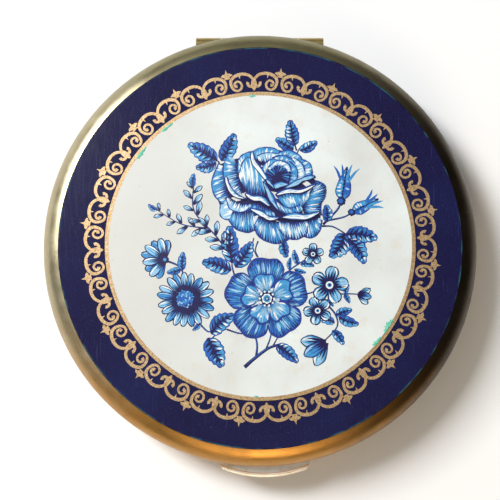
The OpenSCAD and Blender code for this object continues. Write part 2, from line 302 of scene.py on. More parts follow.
def sunburstBrass():
    # inner lid: gilt brass engine-turned with fine waved rays
    mat = spunBrass("engineTurnedGilt", ("c79f52", "d8b265", "e4c582"), 0.24, 0.25, 0.1)
    tree = mat.node_tree
    angle, radius = polarCoords(tree, tree.nodes["Texture Coordinate"].outputs["Object"])[:2]
    wave = addNode(tree, "Math", {0: radius, 1: 2 * math.pi / (7 * mm)}, operation="MULTIPLY")
    ripple = addNode(tree, "Math", {0: wave.outputs[0]}, operation="SINE")
    swing = addNode(tree, "Math", {0: ripple.outputs[0], 1: 0.025, 2: angle}, operation="MULTIPLY_ADD")
    turned = addNode(tree, "Math", {0: swing.outputs[0], 1: 72}, operation="MULTIPLY")   # 72 rays
    rays = addNode(tree, "Math", {0: turned.outputs[0]}, operation="SINE")
    centre = addNode(tree, "MapRange", {"Value": radius, "From Min": 2.5 * mm, "From Max": 4 * mm})
    edge = addNode(tree, "MapRange", {"Value": radius, "From Min": 29.5 * mm, "From Max": 30.2 * mm,
                                      "To Min": 1.0, "To Max": 0.0})
    area = addNode(tree, "Math", {0: centre.outputs[0], 1: edge.outputs[0]}, operation="MULTIPLY")
    height = addNode(tree, "Math", {0: rays.outputs[0], 1: area.outputs[0]}, operation="MULTIPLY")
    addNode(tree, "Bump", {"Height": height.outputs[0], "Strength": 0.3, "Distance": 0.07 * mm},
            feeds=tree.nodes["Principled BSDF"].inputs["Normal"])
    return mat


def navyEnamel():
    # stoved enamel on the dished panel: deep and glossy, with hairline scratches, specks and verdigris
    # at its edge
    mat, tree, shader, coords = startMaterial("navyStovedEnamel", 0.24, Coat_Weight=0.15,
                                              Coat_Roughness=0.05, Specular_IOR_Level=0.35)
    cloud = addNode(tree, "TexNoise", {"Vector": coords, "Scale": perMm(16), "Detail": 3})
    body = addNode(tree, "ValToRGB", {0: cloud.outputs["Fac"]},
                   stops=[(0.3, "0f0a33"), (0.5, "120f39"), (0.7, "141641")])
    grit = addNode(tree, "TexNoise", {"Vector": coords, "Scale": perMm(0.2), "Detail": 3,
                                      "Roughness": 0.8})
    colour = stainOver(tree, body.outputs[0], grit.outputs["Fac"], [(0.5, 0), (0.75, 0.7)], "2b2f6c")
    grain = addNode(tree, "Mapping", {"Vector": coords, "Rotation": (0, 0, 0.12),
                                      "Scale": (perMm(0.09), perMm(3.5), perMm(3.5))})
    hair = addNode(tree, "TexNoise", {"Vector": grain.outputs[0], "Scale": 1, "Detail": 2})
    colour = stainOver(tree, colour, hair.outputs["Fac"], [(0.68, 0), (0.82, 0.22)], "4c5a94")
    cross = addNode(tree, "Mapping", {"Vector": coords, "Rotation": (0, 0, 1.0),
                                      "Scale": (perMm(0.1), perMm(5), perMm(5))})
    crossHair = addNode(tree, "TexNoise", {"Vector": cross.outputs[0], "Scale": 1, "Detail": 1})
    colour = stainOver(tree, colour, crossHair.outputs["Fac"], [(0.72, 0), (0.80, 0.25)], "6f79a8")
    dust = addNode(tree, "TexVoronoi", {"Vector": coords, "Scale": perMm(0.9)})
    colour = stainOver(tree, colour, dust.outputs["Distance"], [(0.03, 0.4), (0.07, 0)], "7b83ad")
    radius = polarCoords(tree, coords)[1]
    rim = addNode(tree, "MapRange", {"Value": radius, "From Min": (panelR - 0.28) * mm,
                                     "From Max": (panelR - 0.06) * mm, "To Max": 0.35})
    bloom = addNode(tree, "TexNoise", {"Vector": coords, "Scale": perMm(2.4), "Detail": 4})
    bloomMask = addNode(tree, "MapRange", {"Value": bloom.outputs["Fac"], "From Min": 0.44,
                                           "From Max": 0.66})
    teal = addNode(tree, "Math", {0: rim.outputs[0], 1: bloomMask.outputs[0]}, operation="MULTIPLY")
    addNode(tree, "Mix", {0: teal.outputs[0], 6: colour, 7: "4aa0a2"}, data_type="RGBA", output=2,
            feeds=shader.inputs["Base Color"])
    addNode(tree, "MapRange", {"Value": hair.outputs["Fac"], "From Min": 0.4, "From Max": 0.8,
                               "To Min": 0.14, "To Max": 0.24}, feeds=shader.inputs["Roughness"])
    addNode(tree, "Bump", {"Height": hair.outputs["Fac"], "Strength": 0.05, "Distance": 0.01 * mm},
            feeds=shader.inputs["Normal"])
    return mat


def agedWhiteEnamel():
    # white lacquer under the print: brown foxing, cool clouds, fine crazing and painted shade greying the
    # left side
    mat, tree, shader, coords = startMaterial("agedWhiteLacquer", 0.3, Coat_Weight=0.35,
                                              Coat_Roughness=0.12)
    cloud = addNode(tree, "TexNoise", {"Vector": coords, "Scale": perMm(13), "Detail": 4})
    body = addNode(tree, "ValToRGB", {0: cloud.outputs["Fac"]},
                   stops=[(0.3, "cfd3cf"), (0.5, "dbe1df"), (0.72, "e3ecea")])
    foxing = addNode(tree, "TexNoise", {"Vector": coords, "Scale": perMm(2.6), "Detail": 5,
                                        "Roughness": 0.7})
    colour = stainOver(tree, body.outputs[0], foxing.outputs["Fac"], [(0.53, 0), (0.78, 0.5)], "d9c6b0")
    craze = addNode(tree, "TexVoronoi", {"Vector": coords, "Scale": perMm(2.1)},
                    feature="DISTANCE_TO_EDGE")
    colour = stainOver(tree, colour, craze.outputs["Distance"], [(0.0, 0.07), (0.03, 0)], "cbbfae")
    # painted shade: the white is greyed towards its left side
    split = addNode(tree, "SeparateXYZ", {0: coords})
    paintedLightMask = addNode(tree, "MapRange", {"Value": split.outputs["X"], "From Min": 6 * mm,
                                      "From Max": -24 * mm, "To Max": 0.85},
                   interpolation_type="SMOOTHSTEP")
    colour = addNode(tree, "Mix", {0: paintedLightMask.outputs[0], 6: colour, 7: "cbccc7"},
                     data_type="RGBA").outputs[2]
    specks = addNode(tree, "TexVoronoi", {"Vector": coords, "Scale": perMm(2.7)})
    stainOver(tree, colour, specks.outputs["Distance"], [(0.035, 0.5), (0.06, 0)], "b79f84",
              shader.inputs["Base Color"])
    addNode(tree, "Bump", {"Height": cloud.outputs["Fac"], "Strength": 0.08, "Distance": 0.3 * mm},
            feeds=shader.inputs["Normal"])
    return mat


def goldInk():
    # bronze-powder ink, screened on: matte metal flakes with pinholes and rubbed places
    mat, tree, shader, coords = startMaterial("bronzePowderInk", 0.5, 0.55)
    flakes = addNode(tree, "TexNoise", {"Vector": coords, "Scale": perMm(0.26), "Detail": 5,
                                        "Roughness": 0.9})
    body = addNode(tree, "ValToRGB", {0: flakes.outputs["Fac"]},
                   stops=[(0.32, "8a6c44"), (0.48, "b99668"), (0.66, "ecd8b4")])
    worn = addNode(tree, "TexNoise", {"Vector": coords, "Scale": perMm(0.35), "Detail": 4})
    stainOver(tree, body.outputs[0], worn.outputs["Fac"], [(0.60, 0), (0.70, 0.6)], "5d4837",
              shader.inputs["Base Color"])
    addNode(tree, "Bump", {"Height": flakes.outputs["Fac"], "Strength": 0.25, "Distance": 0.02 * mm},
            feeds=shader.inputs["Normal"])
    return mat


def printInk(name, code, deeper):
    # oil-based transfer ink under clear lacquer, slightly uneven
    mat, tree, shader, coords = startMaterial(name, 0.34, Coat_Weight=0.3, Coat_Roughness=0.12)
    uneven = addNode(tree, "TexNoise", {"Vector": coords, "Scale": perMm(0.8), "Detail": 4})
    addNode(tree, "ValToRGB", {0: uneven.outputs["Fac"]}, stops=[(0.35, deeper), (0.62, code)],
            feeds=shader.inputs["Base Color"])
    return mat


def verdigris():
    # copper corrosion: chalky green crust
    mat, tree, shader, coords = startMaterial("verdigrisCrust", 0.85)
    crust = addNode(tree, "TexNoise", {"Vector": coords, "Scale": perMm(0.3), "Detail": 5})
    addNode(tree, "ValToRGB", {0: crust.outputs["Fac"]},
            stops=[(0.3, "2f8f7b"), (0.5, "5cbfa5"), (0.7, "a5dccb")],
            feeds=shader.inputs["Base Color"])
    addNode(tree, "Bump", {"Height": crust.outputs["Fac"], "Strength": 0.6, "Distance": 0.08 * mm},
            feeds=shader.inputs["Normal"])
    return mat


def wornPlate():
    # nickel flash over brass, rubbed by thumbs: pale, satin, with brass showing through
    mat, tree, shader, coords = startMaterial("wornNickelPlate", 0.44, 1.0)
    rub = addNode(tree, "TexNoise", {"Vector": coords, "Scale": perMm(1.6), "Detail": 5,
                                     "Roughness": 0.6})
    addNode(tree, "ValToRGB", {0: rub.outputs["Fac"]},
            stops=[(0.35, "f7f2e8"), (0.58, "efe6d6"), (0.72, "d2bd94")],
            feeds=shader.inputs["Base Color"])
    scuff = addNode(tree, "Mapping", {"Vector": coords, "Scale": (perMm(2), perMm(0.12), perMm(0.12))})
    lines = addNode(tree, "TexNoise", {"Vector": scuff.outputs[0], "Scale": 1, "Detail": 2})
    addNode(tree, "Bump", {"Height": lines.outputs["Fac"], "Strength": 0.25, "Distance": 0.02 * mm},
            feeds=shader.inputs["Normal"])
    return mat


def silveredGlass():
    # back-silvered float glass: clean mirror with a little blackening of the silver at its edge
    mat, tree, shader, coords = startMaterial("silveredGlass", 0.015, 1.0, Coat_Weight=0.5,
                                              Coat_Roughness=0.01)
    radius = polarCoords(tree, coords)[1]
    edge = addNode(tree, "MapRange", {"Value": radius, "From Min": 31.6 * mm, "From Max": 34.2 * mm})
    blotch = addNode(tree, "TexNoise", {"Vector": coords, "Scale": perMm(1.4), "Detail": 5,
                                        "Roughness": 0.7})
    spot = addNode(tree, "Math", {0: edge.outputs[0], 1: blotch.outputs["Fac"]}, operation="MULTIPLY")
    stainOver(tree, "e8edec", spot.outputs[0], [(0.30, 0), (0.5, 0.7)], "5e5a50",
              shader.inputs["Base Color"])
    return mat


def plainSteel(name, tone, roughness):
    # drawn steel wire and strip: grey, finely lined, with a trace of rust
    mat, tree, shader, coords = startMaterial(name, roughness, 1.0)
    drawn = addNode(tree, "Mapping", {"Vector": coords, "Scale": (perMm(2.5), perMm(0.08), perMm(0.08))})
    lines = addNode(tree, "TexNoise", {"Vector": drawn.outputs[0], "Scale": 1, "Detail": 3})
    rust = addNode(tree, "TexNoise", {"Vector": coords, "Scale": perMm(0.9), "Detail": 5})
    stainOver(tree, tone, rust.outputs["Fac"], [(0.62, 0), (0.8, 0.7)], "7a4f31",
              shader.inputs["Base Color"])
    addNode(tree, "Bump", {"Height": lines.outputs["Fac"], "Strength": 0.2, "Distance": 0.01 * mm},
            feeds=shader.inputs["Normal"])
    return mat


def greyCard():
    # strawboard packing behind the mirror: short fibres pressed flat
    mat, tree, shader, coords = startMaterial("pressedStrawboard", 0.92)
    fibre = addNode(tree, "Mapping", {"Vector": coords, "Rotation": (0, 0, 0.5),
                                      "Scale": (perMm(0.9), perMm(0.15), perMm(0.15))})
    strands = addNode(tree, "TexNoise", {"Vector": fibre.outputs[0], "Scale": 1, "Detail": 4})
    addNode(tree, "ValToRGB", {0: strands.outputs["Fac"]}, stops=[(0.35, "8e734c"), (0.65, "bda079")],
            feeds=shader.inputs["Base Color"])
    addNode(tree, "Bump", {"Height": strands.outputs["Fac"], "Strength": 0.4, "Distance": 0.05 * mm},
            feeds=shader.inputs["Normal"])
    return mat


def facePowder():
    # loose milled talc tinted peach: soft, dull and slightly lumpy
    mat, tree, shader, coords = startMaterial("looseFacePowder", 0.95, Sheen_Weight=0.2)
    grain = addNode(tree, "TexNoise", {"Vector": coords, "Scale": perMm(0.25), "Detail": 6,
                                       "Roughness": 0.8})
    addNode(tree, "ValToRGB", {0: grain.outputs["Fac"]},
            stops=[(0.35, "d6ab88"), (0.5, "e5c2a2"), (0.65, "eed3b8")],
            feeds=shader.inputs["Base Color"])
    addNode(tree, "Bump", {"Height": grain.outputs["Fac"], "Strength": 0.7, "Distance": 0.1 * mm},
            feeds=shader.inputs["Normal"])
    return mat


def puffVelour():
    # cotton velour: short upright pile that shades where it leans, dusted with powder
    mat, tree, shader, coords = startMaterial("cottonVelour", 0.95, Sheen_Weight=0.6, Sheen_Roughness=0.4,
                                              Sheen_Tint="fbe3d6")
    pile = addNode(tree, "TexNoise", {"Vector": coords, "Scale": perMm(0.22), "Detail": 4,
                                      "Roughness": 0.75})
    lean = addNode(tree, "TexNoise", {"Vector": coords, "Scale": perMm(5), "Detail": 3})
    tone = addNode(tree, "ValToRGB", {0: lean.outputs["Fac"]},
                   stops=[(0.35, "dea48b"), (0.55, "e3ad96"), (0.7, "e9baa5")])
    fluff = addNode(tree, "ValToRGB", {0: pile.outputs["Fac"]}, stops=[(0.35, 0.82), (0.6, 1.0)])
    addNode(tree, "Mix", {0: 1.0, 6: tone.outputs[0], 7: fluff.outputs[0]}, data_type="RGBA",
            blend_type="MULTIPLY", output=2, feeds=shader.inputs["Base Color"])
    addNode(tree, "Bump", {"Height": pile.outputs["Fac"], "Strength": 0.8, "Distance": 0.18 * mm},
            feeds=shader.inputs["Normal"])
    return mat


def satinWeave():
    # rayon satin ribbon: long floats across a fine warp, with a soft band of shine
    mat, tree, shader, coords = startMaterial("rayonSatin", 0.36, Sheen_Weight=0.3, Anisotropic=0.6)
    warp = addNode(tree, "TexWave", {"Vector": coords, "Scale": perMm(0.35 * 2 * math.pi),
                                     "Distortion": 0.6, "Detail": 2}, bands_direction="Y")
    weft = addNode(tree, "TexNoise", {"Vector": coords, "Scale": perMm(3), "Detail": 3})
    addNode(tree, "ValToRGB", {0: weft.outputs["Fac"]}, stops=[(0.35, "ecd2c2"), (0.65, "f8e8dc")],
            feeds=shader.inputs["Base Color"])
    addNode(tree, "Bump", {"Height": warp.outputs["Fac"], "Strength": 0.35, "Distance": 0.04 * mm},
            feeds=shader.inputs["Normal"])
    return mat


def nylonThread():
    # fine nylon monofilament, dusted
    mat, tree, shader, coords = startMaterial("nylonMonofilament", 0.5, Transmission_Weight=0.15)
    dust = addNode(tree, "TexNoise", {"Vector": coords, "Scale": perMm(1.2), "Detail": 4})
    addNode(tree, "ValToRGB", {0: dust.outputs["Fac"]}, stops=[(0.4, "f0e8dc"), (0.65, "e0bfa3")],
            feeds=shader.inputs["Base Color"])
    return mat


def ivoryPlastic():
    # injection-moulded polystyrene, yellowed
    mat, tree, shader, coords = startMaterial("yellowedPolystyrene", 0.3, IOR=1.59)
    age = addNode(tree, "TexNoise", {"Vector": coords, "Scale": perMm(8), "Detail": 3})
    addNode(tree, "ValToRGB", {0: age.outputs["Fac"]}, stops=[(0.35, "e2d3b2"), (0.65, "efe6cf")],
            feeds=shader.inputs["Base Color"])
    orange = addNode(tree, "TexNoise", {"Vector": coords, "Scale": perMm(0.5), "Detail": 2})
    addNode(tree, "Bump", {"Height": orange.outputs["Fac"], "Strength": 0.1, "Distance": 0.02 * mm},
            feeds=shader.inputs["Normal"])
    return mat


# the three side tones are painted shade on the right side, a painted warm reflection at the front and a
# painted dim reflection at the hinge side
caseBrass = spunBrass("lacqueredSpunBrass", ("a89c7c", "b6ab8c", "c6bda3"), 0.36, 0.5, 0.3,
                      paintedSideTones=("23150c", "b5833f", "857f5a"))
giltBrass = spunBrass("brightGiltBrass", ("c29a4e", "d3ad60", "e0c17c"), 0.2, 0.3, 0.2)
hingeBrass = spunBrass("dullHingeBrass", ("9c8a55", "b5a067", "c8b683"), 0.32, 0.8, 0.15)
navy = navyEnamel()
whiteLacquer = agedWhiteEnamel()
bronzeInk = goldInk()
crust = verdigris()

inks = {
    "navy": ("1b1650", "151043"),
    "deep": ("213f96", "1b317e"),
    "mid": ("2867b8", "2056a4"),
    "light": ("489bcf", "3885c0"),
    "pale": ("9fcbe4", "86b9dc"),
    "white": ("edf1ec", "dde8ea"),
}
inkNames = list(inks)
inkMaterials = [printInk("transferInk" + key.capitalize(), *inks[key]) for key in inkNames]

nodeFinish = {
    "lid_shell": caseBrass, "base_shell": caseBrass, "lid_panel": navy, "centre_medallion": whiteLacquer,
    "thumb_lip": wornPlate(), "mirror_glass": silveredGlass(), "mirror_pad": greyCard(),
    "mirror_bezel": giltBrass, "powder_tray": giltBrass, "inner_lid": sunburstBrass(),
    "inner_hinge_leaf": giltBrass, "inner_hinge_bracket": giltBrass, "inner_hinge_rivets": hingeBrass,
    "base_hinge_leaf": hingeBrass, "lid_hinge_leaf": hingeBrass, "catch_bracket": giltBrass,
    "catch_striker": giltBrass, "hinge_pin": plainSteel("drawnSteelPin", "8d877a", 0.35),
    "catch_leaf": plainSteel("springSteelStrip", "8f9296", 0.28), "sifter_ring": ivoryPlastic(),
}
nodeFinish["inner_hinge_pin"] = nodeFinish["hinge_pin"]
bevelled = {
    "lid_shell": 0.16, "base_shell": 0.16, "powder_tray": 0.1, "mirror_bezel": 0.12, "inner_lid": 0.15,
    "sifter_ring": 0.15, "catch_leaf": 0.06, "base_hinge_leaf": 0.06, "lid_hinge_leaf": 0.06,
}


def finishNodes():
    for name, mat in nodeFinish.items():
        node = nodes[name]
        node.material_slots[0].material = mat
        if name in bevelled:
            bevel = node.modifiers.new("wornEdges", "BEVEL")
            bevel.width = bevelled[name] * mm
            bevel.segments = 3
            bevel.limit_method = "ANGLE"
            bevel.angle_limit = math.radians(50)


finishNodes()
print("case nodes finished")


def curveThrough(points, samples):
    # smooth line through the points, as evenly shared samples
    if len(points) == 2:
        return [Vector(points[0]).lerp(Vector(points[1]), i / (samples - 1)) for i in range(samples)]
    p = [Vector(points[0])] + [Vector(q) for q in points] + [Vector(points[-1])]
    spans = len(points) - 1
    line = []
    for i in range(samples):
        t = i / (samples - 1) * spans
        k = min(int(t), spans - 1)
        f = t - k
        a, b, c, d = p[k], p[k + 1], p[k + 2], p[k + 3]
        line.append(0.5 * ((2 * b) + (c - a) * f + (2 * a - 5 * b + 4 * c - d) * f ** 2
                           + (3 * b - a - 3 * c + d) * f ** 3))
    return line


def fromPolar(centre, angle, reach):
    return (centre[0] + reach * math.cos(angle), centre[1] + reach * math.sin(angle))


def newDrawing():
    return {"verts": [], "faces": [], "inks": []}


def layStrip(drawing, left, right, ink, lift, across=1):
    start = len(drawing["verts"])
    for a, b in zip(left, right):
        for k in range(across + 1):
            point = a.lerp(b, k / across)
            drawing["verts"].append(onDome(point.x, point.y, lift))
    row = across + 1
    for i in range(len(left) - 1):
        for k in range(across):
            a = start + i * row + k
            drawing["faces"].append((a, a + 1, a + row + 1, a + row))
            drawing["inks"].append(ink)


def layStroke(drawing, line, width, ink, lift):
    # width is a function of the share of the way along the line
    left, right = [], []
    last = len(line) - 1
    for i, point in enumerate(line):
        ahead = line[min(i + 1, last)] - line[max(i - 1, 0)]
        if ahead.length < 1e-9:
            ahead = Vector((1, 0))
        side = Vector((-ahead.y, ahead.x)).normalized() * width(i / last) / 2
        left.append(point + side)
        right.append(point - side)
    layStrip(drawing, right, left, ink, lift)


def inked(name):
    return inkNames.index(name)


layer = 0.0016  # mm between two layers of ink


def taper(widest, peak=0.3, tail=0.12):
    # a brush stroke: quick swell, slow lift
    def width(t):
        swell = t / peak if t < peak else (1 - t) / (1 - peak)
        return widest * (tail + (1 - tail) * math.sin(max(swell, 0) * math.pi / 2))
    return width


def along(line, t):
    f = min(max(t, 0), 0.9999) * (len(line) - 1)
    k = int(f)
    return line[k].lerp(line[k + 1], f - k)


def lineLength(line):
    return sum((line[i + 1] - line[i]).length for i in range(len(line) - 1))


shades = {  # ground, first lights, highlights
    "deep": ("deep", "mid", "light"),
    "mid": ("mid", "light", "pale"),
    "light": ("light", "pale", "white"),
    "pale": ("pale", "white", "white"),
}


def shadePetal(drawing, near, far, level, rng, tone, dark, density, edge, light=(0.4, 0.95),
               samples=25, farDark=0.0, shine=0.6, slant=0.0):
    # a petal or half a leaf between its near and far lines: ground colour, lights, dark wedges from
    # the near line, and an uneven outline
    lift = medallionLift + level * layer
    nearLine, farLine = curveThrough(near, samples), curveThrough(far, samples)
    ground, lighter, lightest = shades[tone]
    layStrip(drawing, nearLine, farLine, inked(ground), lift, 5)
    count = max(3, round(lineLength(farLine) * density))
    depthScale = sum((along(farLine, t) - along(nearLine, t)).length for t in (0.25, 0.5, 0.75)) / 3

    def hatch(share, start, end, width, ink, raised):
        for k in range(count):
            if rng.random() > share:
                continue
            t = (k + rng.uniform(0.15, 0.85)) / count
            a, b = along(nearLine, t), along(farLine, t + slant + rng.uniform(-0.02, 0.02))
            s0, s1 = start * rng.uniform(0.6, 1.25), min(end * rng.uniform(0.75, 1.1), 0.97)
            if s1 <= s0 + 0.08:
                continue
            bow = (b - a).orthogonal() * rng.uniform(-0.06, 0.06)
            line = [a.lerp(b, s0 + (s1 - s0) * i / 5) + bow * math.sin(math.pi * i / 5) for i in range(6)]
            widest = min(width, depthScale * 0.3) * rng.uniform(0.7, 1.3)
            layStroke(drawing, line, taper(widest, 0.45), inked(ink), lift + raised * layer)

    def comb(base, other, depth, ink, raised, fill=0.62):
        # wedges that stand on one line and run out into the petal
        for k in range(count):
            t = (k + 0.5 + rng.uniform(-0.25, 0.25)) / count
            half = fill * rng.uniform(0.8, 1.25) / count
            a0, a1, root = along(base, t - half), along(base, t + half), along(base, t)
            tip = root.lerp(along(other, t + slant), depth * rng.uniform(0.5, 1.2))
            left = [a0, a0.lerp(tip, 0.4).lerp(root.lerp(tip, 0.4), 0.35), tip]
            right = [a1, a1.lerp(tip, 0.4).lerp(root.lerp(tip, 0.4), 0.35), tip]
            layStrip(drawing, left, right, inked(ink), lift + raised * layer)

    hatch(0.62, 0.2, 0.9, 0.4, lighter, 1)
    hatch(shine * 0.55, light[0], light[1], 0.34, lightest, 1.8)
    if tone in ("light", "pale"):
        comb(nearLine, farLine, min(dark * 1.5, 0.9), "mid", 2.1, 0.42)
    comb(nearLine, farLine, dark * 1.15, "deep", 2.4)
    comb(nearLine, farLine, dark * 0.85, "navy", 2.9, 0.5)
    if farDark:
        comb(farLine, nearLine, farDark * 1.4, "mid", 2.6, 0.42)
        comb(farLine, nearLine, farDark, "navy", 3.1, 0.42)
    wobble = [rng.uniform(0.45, 1.25) for _ in range(8)]
    layStroke(drawing, farLine, lambda t: edge * wobble[int(t * 7)], inked("deep"), lift + 3.4 * layer)
    layStroke(drawing, nearLine, lambda t: edge * 0.8 * wobble[int(t * 7)], inked("navy"),
              lift + 3.5 * layer)


def drawingPiece(name, drawing, materials):
    newPiece(name, drawing["verts"], drawing["faces"], materials, "lid",
             faceMaterials=drawing["inks"])
    print("  %s: %d faces" % (name, len(drawing["faces"])))


border = {
    "repeats": 20,
    "starAngle": 6.8,                   # degrees clockwise from the back
    "scale": 1.02, "spread": 0.94,      # away from the middle, and along the circle
    "ringIn": medallionR - 0.12, "ringOut": medallionR + 0.58,
    # heights over the panel, mm: each later stroke lies on the earlier ones
    "archLift": 0.010, "hookLift": 0.012, "thornLift": 0.014, "starLift": 0.014, "stemLift": 0.016,
    # points are (along the circle, out from the ring)
    "arch": [(0.0, 2.05), (0.35, 2.75), (1.15, 3.35), (2.3, 3.55), (3.6, 3.25), (4.45, 2.55), (4.62, 1.7),
             (4.2, 0.75), (3.46, 0.32), (2.72, 0.58), (2.42, 1.25), (2.7, 1.9), (3.3, 2.12), (3.85, 1.75),
             (3.72, 1.25), (3.3, 1.2)],
    "archWidths": [0.42, 0.5, 0.55, 0.6, 0.62, 0.58, 0.52, 0.48, 0.44, 0.42, 0.42, 0.4, 0.4, 0.42,
                   0.5, 0.62],
    "thorn": [(2.9, 3.35), (2.86, 3.0), (2.75, 2.62)],
    "hook": [(0.0, 1.5), (0.42, 1.12), (0.95, 1.18), (1.28, 1.62), (1.15, 1.95)],
    "hookWidths": [0.46, 0.52, 0.52, 0.48, 0.6],
    "stem": [(0.0, 2.55), (0.0, 1.9), (0.0, 1.2), (0.0, 0.28)],
    "stemWidths": [0.6, 1.0, 1.15, 0.08],
    "star": [(-0.7, 2.95), (-0.5, 3.3), (-1.15, 3.62), (-0.75, 4.0), (-0.28, 4.1), (0.0, 4.85)],
}


def widthFrom(values):
    def width(t):
        f = min(t, 0.9999) * (len(values) - 1)
        k = int(f)
        return (values[k] + (values[k + 1] - values[k]) * (f - k)) * border["scale"]
    return width


def drawBorder():
    drawing = newDrawing()
    circle = [Vector(fromPolar((0, 0), 2 * math.pi * k / 720, 1)) for k in range(721)]
    layStrip(drawing, [p * border["ringIn"] for p in circle], [p * border["ringOut"] for p in circle],
             0, medallionLift + 0.012, 2)

    def place(points, angle, side=1):
        placed = []
        for t, v in points:
            x, y = t * border["spread"] * side, border["ringOut"] + v * border["scale"]
            placed.append(Vector((x * math.cos(angle) + y * math.sin(angle),
                                  y * math.cos(angle) - x * math.sin(angle))))
        return placed

    pitch = 2 * math.pi / border["repeats"]
    for k in range(border["repeats"]):
        star = math.radians(border["starAngle"]) + k * pitch
        junction = star - pitch / 2
        layStroke(drawing, curveThrough(place(border["stem"], junction), 14),
                  widthFrom(border["stemWidths"]), 0, border["stemLift"])
        for side in (1, -1):
            for part, samples in (("arch", 90), ("hook", 24)):
                layStroke(drawing, curveThrough(place(border[part], junction, side), samples),
                          widthFrom(border[part + "Widths"]), 0, border[part + "Lift"])
            layStroke(drawing, curveThrough(place(border["thorn"], junction, side), 6),
                      lambda t: 0.42 * (1 - t) + 0.03, 0, border["thornLift"])
        halves = [curveThrough(place(border["star"], star, side), 24) for side in (1, -1)]
        layStrip(drawing, *halves, 0, border["starLift"], 4)
    drawingPiece("scrollBorder", drawing, [bronzeInk])


drawBorder()
print("gold border drawn")


def drawStem(drawing, points, width):
    line = curveThrough(points, 8 * len(points))
    layStroke(drawing, line, lambda t: width * (1.15 - 0.45 * t), inked("navy"), medallionLift)
    shine = [p + Vector((-width * 0.12, width * 0.1)) for p in line[2:-2]]
    layStroke(drawing, shine, lambda t: width * 0.34 * math.sin(math.pi * t), inked("mid"),
              medallionLift + 0.5 * layer)


def drawLeaf(drawing, base, tip, width, level, rng, teeth, bend=0.12, sunny=1):
    base, tip = Vector(base), Vector(tip)
    run = tip - base
    side = Vector((-run.y, run.x)).normalized()
    spine = [base, base + run * 0.35 + side * bend * run.length * 0.8,
             base + run * 0.7 + side * bend * run.length * 0.7, tip]
    middleLine = curveThrough(spine, 41)
    for half in (-1, 1):
        outline = [base]
        steps = teeth * 2
        for i in range(1, steps):
            t = i / steps
            spread = width / 2 * math.sin(math.pi * t ** 0.75) ** 0.75
            outline.append(along(middleLine, t) + side * half * spread * (1.0 if i % 2 else 0.88)
                           + run.normalized() * (0.06 * width if i % 2 else -0.02 * width))
        outline.append(tip)
        lit = half == sunny
        shadePetal(drawing, spine, outline, level, rng, tone="light" if lit else "mid",
                   dark=0.4 if lit else 0.7, light=(0.35, 0.95), density=1.25, samples=4 * teeth + 1,
                   edge=min(0.2, width * 0.08), shine=0.6 if lit else 0.3, slant=0.14)
        for k in range(1, teeth):
            foot = along(middleLine, 0.85 * k / teeth)
            head = foot.lerp(along(outline, 0.85 * k / teeth + 0.1), 0.82)
            layStroke(drawing, curveThrough([foot, head], 5), taper(width * 0.11), inked("navy"),
                      medallionLift + (level + 3) * layer)
    layStroke(drawing, middleLine, lambda t: min(0.34, width * 0.12) * (1.15 - t), inked("navy"),
              medallionLift + (level + 4) * layer)


def drawPetal(drawing, base, tip, width, level, rng, tone, dark, round, edge=0.2):
    # one smooth petal with a rounded tip, from its base to its tip
    base, tip = Vector(base), Vector(tip)
    run = tip - base
    side = Vector((-run.y, run.x)).normalized() * width / 2
    left, right = [curveThrough([base + half * 0.3, base + run * 0.32 + half * 0.75,
                                 base + run * 0.66 + half, base + run * 0.9 + half * round,
                                 tip + half * 0.08], 17) for half in (-side, side)]
    ground, lighter, lightest = shades[tone]
    lift = medallionLift + level * layer
    layStrip(drawing, left, right, inked(ground), lift, 3)
    for k in range(3):
        share = 0.2 + 0.3 * k + rng.uniform(-0.06, 0.06)
        line = [along(left, t).lerp(along(right, t), share) for t in (0.25, 0.45, 0.65, 0.82, 0.93)]
        layStroke(drawing, line, taper(width * 0.2), inked(lighter if k else lightest),
                  lift + layer * (1 + 0.3 * k))
    for k in range(3):
        share = 0.25 + 0.25 * k
        reach = dark * rng.uniform(0.7, 1.4)
        line = [along(left, reach * t).lerp(along(right, reach * t), share) for t in (0, 0.35, 0.7, 1)]
        layStroke(drawing, line, lambda t: width * 0.3 * (1 - t) + 0.03, inked("navy"),
                  lift + 2.2 * layer)
    for line in (left, right):
        wobble = [rng.uniform(0.6, 1.25) for _ in range(5)]
        layStroke(drawing, line, lambda t: edge * wobble[int(t * 4)], inked("navy"), lift + 3 * layer)


def drawDisc(drawing, centre, radius, ink, level, wave=0.0, sides=24):
    rim = []
    for j in range(sides + 1):
        a = 2 * math.pi * j / sides
        rim.append(Vector(fromPolar(centre, a, radius * (1 + wave * math.sin(a * 7)))))
    layStrip(drawing, [Vector(centre)] * (sides + 1), rim, inked(ink), medallionLift + level * layer)


